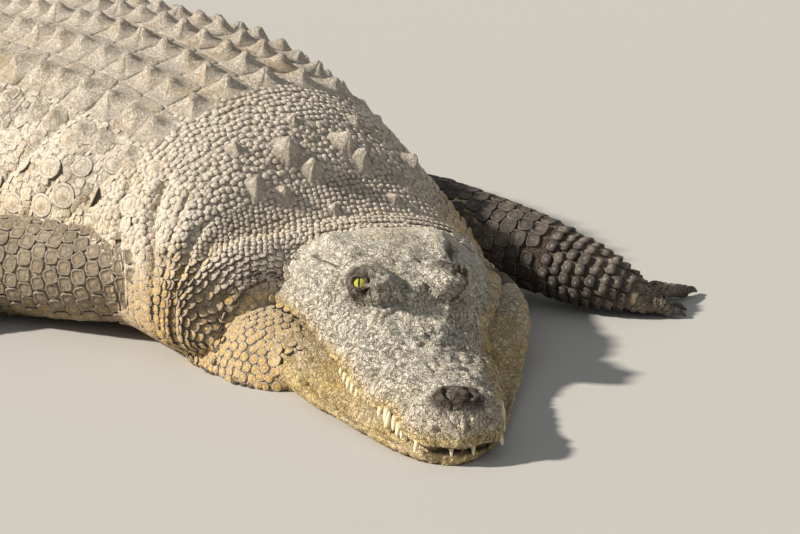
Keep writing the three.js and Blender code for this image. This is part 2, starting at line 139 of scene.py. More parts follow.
def noise(points: Array, size: float, seed: int = 0) -> Array:
    """Smooth random waves from -1 to 1.

    Args:
        points: rows of three coordinates.
        size: width of a wave in the points' unit.
        seed: changes the whole pattern.

    Returns:
        One number per row.
    """
    p = np.asarray(points, float) / size
    base = np.floor(p)
    f = smooth(p - base)
    total = np.zeros(p.shape[:-1])
    for corner in np.ndindex(2, 2, 2):
        weight = np.prod(np.where(np.array(corner) == 1, f, 1.0 - f), axis=-1)
        total += weight * hashed(base + corner, seed)
    return 2.0 * total - 1.0


def rough(points: Array, size: float, octaves: int = 3, seed: int = 0) -> Array:
    """Waves of halving size added up, from about -1 to 1."""
    return sum(noise(points, size / 2**k, seed + k) / 2**k for k in range(octaves)) / 1.6


def seams(points: Array, size: float, seed: int = 0) -> Array:
    """The distance to the nearest seam between random cells, in cell widths.

    Args:
        points: rows of three coordinates.
        size: width of a cell in the points' unit.
        seed: changes the whole pattern.

    Returns:
        0 on a seam and up to about 0.5 in the middle of a cell.
    """
    p = np.asarray(points, float) / size
    base = np.floor(p)
    near = np.full(p.shape[:-1], 9.0)
    second = near.copy()
    for offset in np.ndindex(3, 3, 3):
        cell = base + np.array(offset) - 1.0
        spot = cell + np.stack([hashed(cell, seed + k) for k in range(3)], axis=-1)
        d = norm(p - spot)
        second = np.minimum(second, np.maximum(near, d))
        near = np.minimum(near, d)
    return second - near


@dataclass(frozen=True)
class Table:
    """Rows whose first column rises, read with a smooth cubic."""

    rows: tuple[tuple[float, ...], ...]

    def read(self, at: Array | float) -> Array:
        """Reads every column at the given places.

        Args:
            at: values of the first column.

        Returns:
            One array per other column.
        """
        table = np.array(self.rows, float)
        x, y = table[:, 0], table[:, 1:]
        last = len(x) - 1
        low = np.maximum(np.arange(last + 1) - 1, 0)
        high = np.minimum(np.arange(last + 1) + 1, last)
        slope = (y[high] - y[low]) / (x[high] - x[low])[:, None]
        s = np.clip(np.asarray(at, float), x[0], x[-1])
        i = np.clip(np.searchsorted(x, s, side="left") - 1, 0, last - 1)
        span = x[i + 1] - x[i]
        t = ((s - x[i]) / span)[..., None]
        span = span[..., None]
        start = t * (1 - t) ** 2 * span * slope[i]
        end = t * t * (t - 1) * span * slope[i + 1]
        return np.moveaxis(y[i] + (y[i + 1] - y[i]) * t * t * (3 - 2 * t) + start + end, -1, 0)


@dataclass(frozen=True)
class Bend:
    """A smooth turn of the spine in degrees; negative is to the animal's right."""

    turn: float
    start: float
    end: float

    def at(self, station: Array) -> Array:
        """The part of the turn made by a station."""
        return self.turn * smooth((station - self.start) / (self.end - self.start))


@dataclass(frozen=True)
class Spine:
    """The curved line from the snout tip to the tail tip."""

    length: float = 3600.0
    origin: float = 1250.0
    step: float = 5.0
    neck: Bend = Bend(-28, 430, 720)
    sweep: Bend = Bend(-34, 1850, 2500)
    hook: Bend = Bend(52, 2650, 3450)

    def heading(self, station: Array | float) -> Array:
        """The direction of travel towards the snout, in radians from +X."""
        s = np.asarray(station, float)
        return np.radians(self.neck.turn - self.neck.at(s) + self.sweep.at(s) + self.hook.at(s))

    def line(self) -> Array:
        """Points of the spine on the floor, one for each step."""
        count = round(self.length / self.step)
        middle = round(self.origin / self.step)
        angle = self.heading((np.arange(count) + 0.5) * self.step)
        moves = -self.step * columns(np.cos(angle), np.sin(angle))
        points = np.vstack([[0.0, 0.0], np.cumsum(moves, axis=0)])
        return points - points[middle]

    def place(self, station: Array, side: Array, height: Array) -> Array:
        """Turns stations, sides and heights into points in metres.

        Args:
            station: distances behind the snout tip; a little before it is allowed.
            side: distances to the left of the spine.
            height: heights above the floor.

        Returns:
            Rows of x, y and z.
        """
        station, side, height = np.broadcast_arrays(station, side, height)
        line = self.line()
        s = np.clip(station, 0.0, self.length) / self.step
        i = np.minimum(s.astype(int), len(line) - 2)
        t = (s - i)[..., None]
        angle = self.heading(station)
        base = line[i] * (1 - t) + line[i + 1] * t
        before = np.minimum(station, 0.0)
        x = base[..., 0] - side * np.sin(angle) - before * np.cos(angle)
        y = base[..., 1] + side * np.cos(angle) - before * np.sin(angle)
        return columns(x, y, height) * MM

    def locate(self, points: Array) -> Array:
        """Finds the station, side and height of points in metres.

        Args:
            points: rows of x, y and z.

        Returns:
            Rows of station, side and height in millimetres.
        """
        line = self.line()[::2]
        found = np.empty((len(points), 3))
        for k in range(0, len(points), 20000):
            p = points[k : k + 20000] / MM
            i = ((p[:, None, 0] - line[None, :, 0]) ** 2 + (p[:, None, 1] - line[None, :, 1]) ** 2).argmin(1)
            station = i * 2 * self.step
            d = p[:, :2] - line[i]
            angle = self.heading(station)
            ahead = d[:, 0] * np.cos(angle) + d[:, 1] * np.sin(angle)
            side = -d[:, 0] * np.sin(angle) + d[:, 1] * np.cos(angle)
            found[k : k + 20000] = columns(station - ahead, side, p[:, 2])
        return found


SPINE = Spine()
SKIN_DEPTH = 2.5  # how far the skin lies inside the solids, to leave room for the scales


# ---- mesh helpers
def new_object(name: str, points: Array, faces: list | Array) -> Item:
    """Makes a smooth-shaded mesh object at the origin.

    Args:
        name: the object's name.
        points: rows of x, y and z in metres.
        faces: rows of point numbers.

    Returns:
        The new object, linked to the scene.
    """
    mesh = bpy.data.meshes.new(name)
    mesh.from_pydata(np.asarray(points, float).tolist(), [], [list(map(int, f)) for f in faces])
    mesh.polygons.foreach_set("use_smooth", np.ones(len(mesh.polygons), bool))
    mesh.update()
    item = bpy.data.objects.new(name, mesh)
    bpy.context.scene.collection.objects.link(item)
    return item


def shell_faces(rings: int, sides: int) -> list[tuple[int, ...]]:
    """Faces of a closed tube of rings, with a fan over each end point.

    Args:
        rings: number of rings, each of the given sides.
        sides: points in a ring.

    Returns:
        Faces over points in ring order, then the first end's point and the last end's.
    """
    i = np.arange(rings - 1)[:, None] * sides
    j = np.arange(sides)[None, :]
    k = (j + 1) % sides
    quads = columns(i + j, i + k, i + sides + k, i + sides + j).reshape(-1, 4)
    first, last = rings * sides, rings * sides + 1
    top = (rings - 1) * sides
    fans = [(int(b), int(a), first) for a, b in zip(j[0], k[0])]
    fans += [(top + int(a), top + int(b), last) for a, b in zip(j[0], k[0])]
    return [tuple(q) for q in quads.tolist()] + fans


def closed_shell(name: str, rings: Array, first: Array, last: Array) -> Item:
    """A closed body from rings of points, facing out.

    Args:
        name: the object's name.
        rings: array of rings, sides and coordinates.
        first: the point that closes the first ring.
        last: the point that closes the last ring.

    Returns:
        The new object.
    """
    points = np.vstack([rings.reshape(-1, 3), first, last])
    item = new_object(name, points, shell_faces(*rings.shape[:2]))
    if signed_volume(item.data) < 0:
        item.data.flip_normals()
    return item


def merged(name: str, grids: list[Array], rises: list[Array] | None = None) -> Item:
    """Many closed shells in one piece, facing out.

    Args:
        name: the piece's name.
        grids: rings of points, one array for each shell.
        rises: how high each point stands, from 0 to 1; the rings' order if left out.

    Returns:
        The piece, with its rises stored.
    """
    points, faces, start = [], [], 0
    for grid in grids:
        points.append(np.vstack([grid.reshape(-1, 3), grid[0].mean(axis=0), grid[-1].mean(axis=0)]))
        faces += [tuple(i + start for i in f) for f in shell_faces(*grid.shape[:2])]
        start += len(points[-1])
    if rises is None:
        rises = [np.concatenate([np.repeat(np.linspace(0, 1, len(g)), g.shape[1]), [0, 1]]) for g in grids]
    item = new_object(name, np.vstack(points), faces)
    if signed_volume(item.data) < 0:
        item.data.flip_normals()
    put_values(item.data, "rise", np.concatenate(rises))
    return item


def on_floor(item: Item) -> None:
    """Lifts every point that is under the floor."""
    points, _ = mesh_arrays(item.data)
    points[:, 2] = np.maximum(points[:, 2], 0.0)
    item.data.vertices.foreach_set("co", points.ravel())


def corners(mesh: bpy.types.Mesh) -> Array:
    """The point number of each face corner."""
    corner = np.empty(len(mesh.loops), np.int32)
    mesh.loops.foreach_get("vertex_index", corner)
    return corner


def write_map(mesh: bpy.types.Mesh, uv: Array) -> None:
    """Writes the unwrap, one place for each face corner."""
    mesh.uv_layers.new(name=BAKE_MAP).data.foreach_set("uv", uv.astype(np.float32).ravel())


def signed_volume(mesh: bpy.types.Mesh) -> float:
    """The volume of a closed mesh, negative if it is inside out."""
    points, triangles = mesh_arrays(mesh)
    a, b, c = (points[triangles[:, k]] for k in range(3))
    return float(np.einsum("ij,ij->i", a, np.cross(b, c)).sum() / 6.0)


def mesh_arrays(mesh: bpy.types.Mesh) -> tuple[Array, Array]:
    """The points and the triangles of a mesh as arrays."""
    mesh.calc_loop_triangles()
    points = np.empty(len(mesh.vertices) * 3)
    mesh.vertices.foreach_get("co", points)
    triangles = np.empty(len(mesh.loop_triangles) * 3, np.int32)
    mesh.loop_triangles.foreach_get("vertices", triangles)
    return points.reshape(-1, 3), triangles.reshape(-1, 3)


def put_values(mesh: bpy.types.Mesh, name: str, values: Array) -> None:
    """Stores one number or vector for each point of a mesh."""
    values = np.asarray(values, np.float32)
    kind, field_name = ("FLOAT", "value") if values.ndim == 1 else ("FLOAT_VECTOR", "vector")
    old = mesh.attributes.get(name)
    if old is not None:
        mesh.attributes.remove(old)
    mesh.attributes.new(name, kind, "POINT").data.foreach_set(field_name, values.ravel())


def get_values(mesh: bpy.types.Mesh, name: str, width: int = 1) -> Array:
    """Reads back what put_values stored."""
    data = mesh.attributes[name].data
    values = np.empty(len(data) * width, np.float32)
    data.foreach_get("value" if width == 1 else "vector", values)
    return values if width == 1 else values.reshape(-1, width)


def baked(item: Item, name: str) -> Item:
    """Replaces an object that has modifiers by a plain mesh object.

    Args:
        item: the object to evaluate; it is removed.
        name: the new object's name.

    Returns:
        The plain object.
    """
    graph = bpy.context.evaluated_depsgraph_get()
    mesh = bpy.data.meshes.new_from_object(item.evaluated_get(graph), depsgraph=graph)
    drop(item)
    mesh.name = name
    result = bpy.data.objects.new(name, mesh)
    bpy.context.scene.collection.objects.link(result)
    return result


def drop(*items: Item) -> None:
    """Removes objects and their meshes."""
    for item in items:
        mesh = item.data
        bpy.data.objects.remove(item)
        bpy.data.meshes.remove(mesh)


def combined(base: Item, other: Item, operation: str = "UNION") -> Item:
    """Joins other to base, or cuts it away, as closed solids.

    Args:
        base: the solid to change; it is used up.
        other: the second solid; it is used up.
        operation: UNION or DIFFERENCE.

    Returns:
        The resulting object, with base's name.
    """
    name = base.name
    change = base.modifiers.new("join", "BOOLEAN")
    change.solver = "MANIFOLD"
    change.operation = operation
    change.object = other
    result = baked(base, name)
    drop(other)
    result.name = name
    return result


# ---- the forms
@dataclass(frozen=True)
class Mound:
    """An ellipsoid that swells a surface: its centre and its three half sizes."""

    centre: Trio
    radii: Trio

    def reach(self, points: Array, normals: Array) -> Array:
        """How far each point has to move along its normal to leave the ellipsoid.

        Args:
            points: rows of station, side and height.
            normals: unit directions in the same axes.

        Returns:
            A distance per point, 0 outside the ellipsoid.
        """
        p = (points - np.array(self.centre)) / np.array(self.radii)
        n = normals / np.array(self.radii)
        a, b, c = (n * n).sum(-1), (p * n).sum(-1), (p * p).sum(-1) - 1.0
        root = np.sqrt(np.maximum(b * b - a * c, 0.0))
        return np.where(c < 0, (root - b) / a, 0.0)


@dataclass(frozen=True)
class Groove:
    """A sunk line, or a raised one where its depth is negative."""

    points: tuple[tuple[float, ...], ...]
    width: float
    depth: float

    def sink(self, points: Array) -> Array:
        """How deep the groove is at each of the given points, read in the line's own axes."""
        line = np.array(self.points, float)
        near = np.full(points.shape[:-1], 1e9)
        for a, b in zip(line[:-1], line[1:]):
            t = np.clip(((points - a) @ (b - a)) / ((b - a) @ (b - a)), 0.0, 1.0)
            near = np.minimum(near, norm(points - a - t[..., None] * (b - a)))
        return self.depth * bell(near, self.width)


@dataclass(frozen=True)
class Knob:
    """A round rise, or a dent where its height is negative, at a station and side."""

    spot: Pair
    width: float
    height: float

    def rise(self, points: Array) -> Array:
        """How far the knob lifts each place."""
        return self.height * bell(norm(points - np.array(self.spot)), self.width)


def grid_normals(grid: Array) -> Array:
    """Unit normals of a grid of points whose second axis goes round.

    Args:
        grid: array of rings, sides and coordinates.

    Returns:
        An array of the same shape, facing out from each ring's middle.
    """
    along = np.gradient(grid, axis=0)
    around = np.roll(grid, -1, axis=1) - np.roll(grid, 1, axis=1)
    normal = unit(np.cross(along, around))
    out = grid - grid.mean(axis=1, keepdims=True)
    return normal * np.sign((normal * out).sum())


@dataclass(frozen=True)
class Body:
    """Neck, trunk and tail, as sections along the spine."""

    sections: Table = Table((
        (480, 160, 0, 170, 82), (562, 270, -52, 200, 82), (620, 296, -48, 240, 86),
        (680, 308, -42, 290, 92), (760, 316, -30, 336, 102), (900, 338, -10, 372, 122),
        (1060, 362, 0, 396, 138), (1250, 376, 0, 404, 144), (1450, 362, 0, 392, 142),
        (1650, 318, 0, 354, 134), (1800, 264, 0, 308, 122), (1950, 212, 0, 264, 110),
        (2150, 166, 0, 226, 98), (2450, 124, 0, 188, 84), (2800, 86, 0, 144, 66),
        (3150, 52, 0, 98, 46), (3450, 24, 0, 50, 24), (3600, 5, 0, 12, 6),
    ))
    back_roundness: float = 2.1
    belly_roundness: float = 3.4
    sink: float = 8.0  # how far the plain sections go under the floor before they are cut flat
    floor: float = 1.5  # height of the skin's flat underside, over the belly scales
    roll_back: float = 568.0  # where the skin of the neck starts to roll in beside the jowl
    roll: float = 72.0  # over what length it does
    lean: float = 46.0  # how much further forward the skin goes beside the jowl
    lean_angle: float = 3.35  # and round which angle
    lean_spread: float = 0.5
    core: Trio = (-165.0, 34.0, 26.0)  # side, height and radius of the roll's heart
    # the throat's lower fold and the fuller part behind it
    throat: tuple[Mound, ...] = (Mound((560, -160, 0), (220, 138, 108)),
                                 Mound((578, -185, 70), (104, 136, 124)))
    # station and height of the folds on each flank of the neck
    folds: tuple[Groove, ...] = (
        Groove(((760, 260), (740, 212), (715, 175), (690, 126), (668, 40)), 9, 13),
        Groove(((650, 215), (635, 181), (600, 139), (585, 93), (588, 30)), 8, 10),
        Groove(((820, 250), (800, 190), (775, 120), (770, 60)), 8, 8),
        Groove(((705, 245), (682, 190), (650, 130), (640, 60)), 5, 5),
        Groove(((610, 190), (575, 150), (548, 100), (545, 40)), 5, 5),
        Groove(((900, 250), (870, 170), (850, 90)), 7, 5),
        Groove(((960, 110), (905, 205), (850, 290)), 7, 6),
        Groove(((1035, 140), (975, 235), (915, 325)), 7, 6),
        Groove(((1120, 150), (1060, 250), (1000, 335)), 8, 6),
        Groove(((1215, 150), (1150, 255), (1085, 340)), 8, 6),
        Groove(((1320, 150), (1250, 255), (1180, 340)), 8, 6),
        Groove(((1440, 150), (1365, 255), (1290, 335)), 8, 6),
    )

    def section(self, station: Array, angle: Array, inset: float = SKIN_DEPTH) -> Array:
        """A point of the plain section.

        Args:
            station: distances behind the snout tip.
            angle: 0 on the left side, a quarter turn on top.
            inset: how far inside the solids.

        Returns:
            Rows of station, side and height.
        """
        half, shift, top, waist = self.sections.read(station)
        c, s = np.cos(angle), np.sin(angle)
        power = 2.0 / np.where(s >= 0, self.back_roundness, self.belly_roundness)
        reach = np.where(s >= 0, top - waist, waist + self.sink)
        side = shift + np.sign(c) * np.abs(c) ** power * np.maximum(half - inset, 1.0)
        height = waist + np.sign(s) * np.abs(s) ** power * np.maximum(reach - inset, 1.0)
        return columns(station + 0 * side, side, np.maximum(self.floor, height))

    def normal(self, station: Array, angle: Array) -> Array:
        """The outward direction of the plain section, in station, side and height."""
        along = self.section(station + 2.0, angle) - self.section(station - 2.0, angle)
        around = self.section(station, angle + 0.01) - self.section(station, angle - 0.01)
        return unit(np.cross(around, along))

    def relief(self, plain: Array, normal: Array) -> Array:
        """How far folds and bulges move the plain surface outwards."""
        a, side, height = np.moveaxis(plain, -1, 0)
        swell = np.maximum.reduce([mound.reach(plain, normal) for mound in self.throat])
        flank = plain[..., [0, 2]] + rough(plain, 60, 2, 5)[..., None] * 6
        low = ramp(np.abs(side), 120, 220)
        sunk = sum(fold.sink(flank) for fold in self.folds) * low
        tail = ramp(a, 1900, 2100)
        lumps = (3.4 * rough(plain, 120, 2, 11) + 1.6 * rough(plain, 34, 2, 15)) * (1 - 0.7 * tail)
        return swell - sunk + lumps - 1.5

    def surface(self, station: Array, angle: Array) -> Array:
        """The folded surface as rows of station, side and height."""
        station, angle = np.broadcast_arrays(np.asarray(station, float), angle)
        back = np.maximum(station, self.roll_back)
        plain, normal = self.section(back, angle), self.normal(back, angle)
        core = columns(station, self.core[0] + self.core[2] * np.cos(angle),
                         self.core[1] + self.core[2] * np.sin(angle))
        start = self.roll_back - self.lean * bell(angle - self.lean_angle, self.lean_spread)
        turned = np.clip((start - station) / self.roll, 0.0, 1.0)
        inner = (1.0 - np.sqrt(1.0 - turned**2))[..., None]
        plain[..., 0] = station
        plain = plain * (1 - inner) + core * inner
        flat = columns(0 * angle, np.cos(angle), np.sin(angle))
        normal = unit(normal * (1 - inner) + flat * inner)
        moved = plain + normal * self.relief(plain, normal)[..., None]
        moved[..., 2] = np.maximum(moved[..., 2], self.floor)
        return moved

    def outward(self, station: Array, angle: Array) -> Array:
        """The outward direction of the folded surface, in station, side and height."""
        along = self.surface(station + 3.0, angle) - self.surface(station - 3.0, angle)
        around = self.surface(station, angle + 0.02) - self.surface(station, angle - 0.02)
        return unit(np.cross(around, along) + 0.1 * self.normal(np.maximum(station, self.roll_back), angle))

    def angle_at(self, station: Array, side: Array) -> Array:
        """The angle of the point of the back that lies at a side."""
        half, shift, _, _ = self.sections.read(station)
        share = np.clip((side - shift) / half, -0.999, 0.999)
        return np.arccos(np.sign(share) * np.abs(share) ** (self.back_roundness / 2))

    def shell(self) -> Item:
        """The closed skin of neck, trunk and tail."""
        front = np.concatenate([np.arange(342, 480, 5.5), np.arange(480, 1000, 5.7)])
        middle = np.arange(1002, 1850, 13)
        rear = np.linspace(1850, 3592, 92)
        station = np.concatenate([front, middle, rear])
        low, high = math.radians(212), math.radians(328)
        angle = np.concatenate([np.linspace(high - 2 * np.pi, low, 128), np.linspace(low, high, 16)[1:-1]])
        local = self.surface(station[:, None], angle[None, :])
        ends = [SPINE.place(*local[k].mean(axis=0)) for k in (0, -1)]
        grid = SPINE.place(*np.moveaxis(local, -1, 0))
        item = closed_shell("body_shell", grid, *ends)
        ring = np.repeat((station - CHART_START) / (SPINE.length - CHART_START), len(angle))
        turn = np.tile(angle / (2 * np.pi), len(station)) % 1.0
        set_chart(item, columns(ring, turn), Chart.BODY)
        return item


class Chart(Enum):
    """Where each part of the skin lies on its unwrap: left, bottom, width and height."""

    BODY = (0.01, 0.01, 0.98, 0.36)
    HEAD = (0.01, 0.39, 0.48, 0.60)
    ARM_LEFT = (0.51, 0.39, 0.23, 0.29)
    ARM_RIGHT = (0.76, 0.39, 0.23, 0.29)
    LEG_LEFT = (0.51, 0.70, 0.23, 0.29)
    LEG_RIGHT = (0.76, 0.70, 0.23, 0.29)


def lay_round(mesh: bpy.types.Mesh, places: Array, chart: Chart, fill: float) -> None:
    """Writes the unwrap of a closed tube, where no face crosses the line on which it closes.

    Args:
        mesh: the tube's mesh.
        places: a place along and round the tube, from 0 to 1, for each point.
        chart: the part of the unwrap.
        fill: how much of it the tube fills.
    """
    uv = places[corners(mesh)]
    owner = np.repeat(np.arange(len(mesh.polygons)), [p.loop_total for p in mesh.polygons])
    highest = np.zeros(len(mesh.polygons))
    np.maximum.at(highest, owner, uv[:, 1])
    uv[(highest[owner] - uv[:, 1]) > 0.5, 1] += 1.0
    left, bottom, width, height = chart.value
    write_map(mesh, uv * [width * fill, height * fill] + [left, bottom])


def set_chart(item: Item, places: Array, chart: Chart) -> None:
    """Gives a shell, whose last two points close its ends, its part of the unwrap."""
    lay_round(item.data, np.vstack([places, places[:1], places[-1:]]), chart, CHART_FILL)


def grid_places(grid: Array) -> Array:
    """The place of each point of a grid along and round it, from 0 to 1."""
    rings, sides = grid.shape[:2]
    i, j = np.meshgrid(np.arange(rings) / rings, np.arange(sides) / sides, indexing="ij")
    return columns(i.ravel(), j.ravel())


def back_places(body: Body, points: Array) -> Array:
    """Places on the body's part of the unwrap for points over the back.

    Args:
        body: the form under the points.
        points: rows of x, y and z in metres.

    Returns:
        One row for each point.
    """
    a, side, _ = SPINE.locate(points).T
    left, bottom, width, height = Chart.BODY.value
    along = (a - CHART_START) / (SPINE.length - CHART_START)
    return columns(left + width * CHART_FILL * along,
                     bottom + height * CHART_FILL * body.angle_at(a, side) / (2 * np.pi))


@dataclass(frozen=True)
class Eye:
    """Where an eyeball sits in the head, in head axes, and which way it looks."""

    station: float = 337.0
    side: float = 72.0
    height: float = 166.0
    radius: float = 19.0
    lid: float = 3.6  # thickness of the lids
    opening: Pair = (0.48, 0.40)  # half width and half height, in radians
    look: Trio = (-0.86, 0.46, 0.26)  # station, side and height
    look_left: Trio = (-0.28, 0.93, 0.16)  # the left eye looks away


@dataclass(frozen=True)
class Head:
    """Skull and lower jaw with the mouth shut."""

    upper: Table = Table((
        (0, 60, 20, 60, 30, 30), (8, 80, 42, 76, 54, 30), (34, 98, 60, 94, 70, 32),
        (64, 98, 66, 92, 78, 38), (98, 92, 66, 86, 84, 46), (150, 94, 74, 88, 102, 42),
        (220, 106, 82, 96, 114, 50), (290, 130, 86, 118, 122, 60), (340, 160, 92, 152, 132, 70),
        (390, 182, 100, 178, 146, 82), (450, 196, 112, 190, 170, 94), (500, 198, 124, 188, 196, 102),
        (530, 194, 136, 184, 208, 104), (562, 188, 148, 176, 214, 102),
    ))
    lower: Table = Table((
        (0, 22, 18, 10, 20), (12, 50, 18, 30, 48), (38, 74, 18, 54, 66), (74, 92, 18, 72, 76),
        (120, 112, 20, 90, 90), (190, 140, 24, 114, 110), (262, 168, 34, 142, 118),
        (345, 194, 56, 164, 130), (420, 210, 74, 176, 156), (480, 222, 84, 176, 184),
        (530, 228, 88, 172, 202), (562, 224, 88, 168, 208),
    ))
    upper_weight: float = 1.5  # how far each curve is pulled to its corner
    jaw_weight: float = 1.1
    jaw_shift: float = -8.0  # the jaw lies a little to the right
    hang: float = 14.0  # and by the lip its rear part lies further left
    tip: float = 9.0  # how far the snout's round tip stands before its first section
    gum: float = 12.0  # depth of the trough that the teeth hang in
    ear: Groove = Groove(((478, 112), (460, 104), (440, 96), (422, 88)), 4.0, 10.0)
    ridges: tuple[Groove, ...] = (  # the ear flap, and the ridge before each eye
        Groove(((486, 88), (455, 82), (425, 72)), 15, -8), Groove(((315, 56), (285, 52), (255, 44)), 12, -6),
    )
    twins: tuple[Knob, ...] = (Knob((502, 82), 26, 9), Knob((420, 88), 6, -10))  # alike on both sides
    knobs: tuple[Knob, ...] = (
        Knob((330, 15), 7, 9), Knob((328, -24), 8, 9), Knob((300, -46), 9, 5), Knob((262, 30), 10, 4),
        Knob((250, -22), 11, 4), Knob((205, 12), 12, 3.5), Knob((170, -30), 12, 3.5), Knob((238, 62), 20, -6),
    )
    scar: Groove = Groove(((312, -40), (298, -50), (286, -62)), 4, 6)
    jowl_creases: tuple[Groove, ...] = (Groove(((430, 64), (475, 78), (520, 84)), 5, 4),
                                        Groove(((380, 30), (450, 52), (530, 60)), 7, 3.5))
    cheek_crease: Groove = Groove(((440, 112), (490, 120), (540, 122)), 5, 3.5)
    back: float = 600.0
    rings: int = 226
    columns: tuple[int, int, int] = (56, 40, 3)  # upper, lower and floor, on each half
    lean: float = 0.042  # the head is rolled slightly to its left
    lean_level: float = 60.0  # about this height
    eye: Eye = Eye()
    lid_patch: tuple[Pair, ...] = ((0.56, 0.12), (0.04, 0.06))  # on the head's chart

    def roll(self, local: Array) -> Array:
        """Tilts the head slightly to its left."""
        station, side, height = np.moveaxis(local, -1, 0)
        tilt = self.lean * np.minimum(1.0, height / self.lean_level)
        return columns(station, side + self.lean * (height - self.lean_level), height - tilt * side)

    def place(self, local: Array) -> Array:
        """Head axes to points in metres."""
        return SPINE.place(*np.moveaxis(self.roll(local), -1, 0))

    @staticmethod
    def arc(start: Array, corner: Array, end: Array, weight: float, t: Array) -> Array:
        """Points of a rational quadratic from start to end, pulled towards the corner."""
        a, b, c = (1 - t) ** 2, 2 * weight * t * (1 - t), t**2
        mix = a[:, None] * start + b[:, None] * corner + c[:, None] * end
        return mix / (a + b + c)[:, None]

    def half(self, station: float) -> Array:
        """One half of a section from the top round to the middle of the floor.

        Args:
            station: distance behind the snout tip.

        Returns:
            Rows of side and height.
        """
        top, shoulder_y, shoulder_z, lip_y, lip_z = self.upper.read(station)
        bulge_y, bulge_z, floor_y, rim_y = self.lower.read(station)
        n_upper, n_lower, n_floor = self.columns
        p = np.array
        over = self.arc(p([0, top]), p([shoulder_y, shoulder_z]), p([lip_y, lip_z]),
                        self.upper_weight, np.linspace(0, 1, n_upper))
        shut = float(ramp(station, 575, 500))
        rim = p([rim_y, lip_z - 7.5])
        slot = [p([lip_y - 2.0, lip_z - 1.6]), p([lip_y - 7, lip_z - 2.2]),
                p([rim_y - 13 * shut - 2, lip_z - 4.6]), p([rim_y - 5 * shut - 1, lip_z - 6.6])]
        corner = p([2 * bulge_y - (rim_y + floor_y) / 2, bulge_z])
        under = self.arc(rim, corner, p([floor_y, 0]), self.jaw_weight, np.linspace(0, 1, n_lower))
        flat = p([floor_y, 0]) * np.linspace(1, 0, n_floor + 1)[1:, None]
        return np.vstack([over, slot, under, flat])

    def grid(self) -> Array:
        """The plain head as rings of station, side and height, snout first."""
        stations = self.back * np.linspace(0, 1, self.rings) ** 1.08
        rings = []
        for station in stations:
            half = self.half(min(station, HEAD_END))
            buried = 1.0 - 0.2 * float(ramp(station, 556, self.back))
            left = half * [buried, buried]
            right = left[1:-1][::-1] * [-1, 1]
            both = np.vstack([left, right])
            ring = np.column_stack([np.full(len(both), station), both])
            lip = self.upper.read(min(station, HEAD_END))[4]
            level = ring[:, 2] / lip
            droop = self.hang * float(ramp(station, 260, 420))
            below = ring[:, 2] < lip - 2.0
            ring[below, 1] += (self.jaw_shift * (1 - level) + droop * level)[below]
            rings.append(ring)
        front = rings[0]
        middle = np.array([0.0, 0.0, self.upper.read(0.0)[4] - 2.5])
        cap = [middle + (front - middle) * [1, s, s] - [self.tip * (1 - s * s), 0, 0]
               for s in (0.12, 0.34, 0.56, 0.77, 0.92)]
        return np.array(cap + rings)

    def relief(self, plain: Array, normal: Array) -> Array:
        """How far the head's own forms move the plain surface outwards.

        Args:
            plain: the grid from grid().
            normal: its outward directions.

        Returns:
            A distance for each point.
        """
        a, side, height = np.moveaxis(plain, -1, 0)
        mirror = columns(a, np.abs(side), height)
        m_normal = normal * columns(np.ones_like(side), np.sign(side + 1e-9), np.ones_like(side))
        lip = self.upper.read(np.clip(a, 0, HEAD_END))[4]
        over = height > lip - 1.0
        top = ramp(height - lip, 0, 30)
        brow = Mound((350, 58, 160), (66, 36, 29)).reach(mirror, m_normal)
        pad = Mound((36, 0, 92), (32, 34, 12)).reach(mirror, m_normal)
        plan = mirror[..., :2]
        d_eye = norm(mirror - [self.eye.station, self.eye.side, self.eye.height])
        forms = brow + pad
        forms += sum(knob.rise(plan) for knob in self.twins) * top
        forms -= sum(line.sink(plan) for line in (*self.ridges, self.ear)) * top
        uneven = plain[..., :2]
        forms += sum(knob.rise(uneven) for knob in self.knobs) * top
        forms -= self.scar.sink(uneven) * top
        forms += 11 * bell(norm((plan - [318, 0]) / [1.5, 1]), 38) * top  # between the eyes
        for way in (-1, 1):
            slit = ((20, 10 * way), (27, 17 * way), (38, 20 * way), (46, 16 * way))
            forms -= Groove(slit, 3.2, 11).sink(uneven) * top * over
        forms -= 5 * bell(a - 98, 16) * bell(height - lip - 8, 26)  # notch of the upper lip
        forms += 3.5 * bell(a - 165, 42) * bell(height - lip - 8, 14)
        forms += 2.5 * bell(a - 300, 34) * bell(height - lip - 8, 12)
        jowl = ramp(a, 330, 430) * ~over
        profile = mirror[..., [0, 2]]
        forms -= sum(line.sink(profile) for line in self.jowl_creases) * jowl
        forms -= self.cheek_crease.sink(profile) * over
        snout = ramp(a, 480, 280)
        lumps = rough(plain, 44, 2, 3) * (4.2 * over * snout + 1.6)
        knots = rough(plain, 21, 2, 19) * (4.2 * top * ramp(a, 600, 470) + 0.5)
        curls = np.abs(rough(plain, 15, 2, 21)) * (top * (2.6 + 4.4 * snout) + 0.8) - 1.4 * top
        wrinkle = 1.4 * np.sin(d_eye / 1.25) * bell(d_eye - 30, 12) * top
        curled = np.abs(rough(plain, 20, 2, 4))
        crack = -2.6 * bell(curled, 0.08) * top * (0.4 + 0.6 * snout)
        scaled = -1.8 * bell(seams(plain * [1, 1, 0.62], 13, 9), 0.16) * ~over
        dashes = -2.4 * bell(np.abs(rough(plain * [1, 1, 0.4], 20, 2, 33)), 0.10) * ~over
        fine = (curls + knots + crack + wrinkle + scaled + dashes) * ramp(d_eye, 18, 26)
        under = lip - height
        rear = ramp(a, 330, 262)
        trough = -(self.gum * ramp(under, 1, 5) * ramp(under, 27, 12) * ramp(a, 4, 20) * rear
                   + 7 * ramp(under, 0, 3) * ramp(under, 13, 5) * (1 - rear) * ramp(a, 540, 500)) * ~over
        ledge = 3.2 * bell(height - lip - 5, 8) * over * ramp(a, 540, 480) * (0.6 + 0.4 * np.sin(a / 6.5))
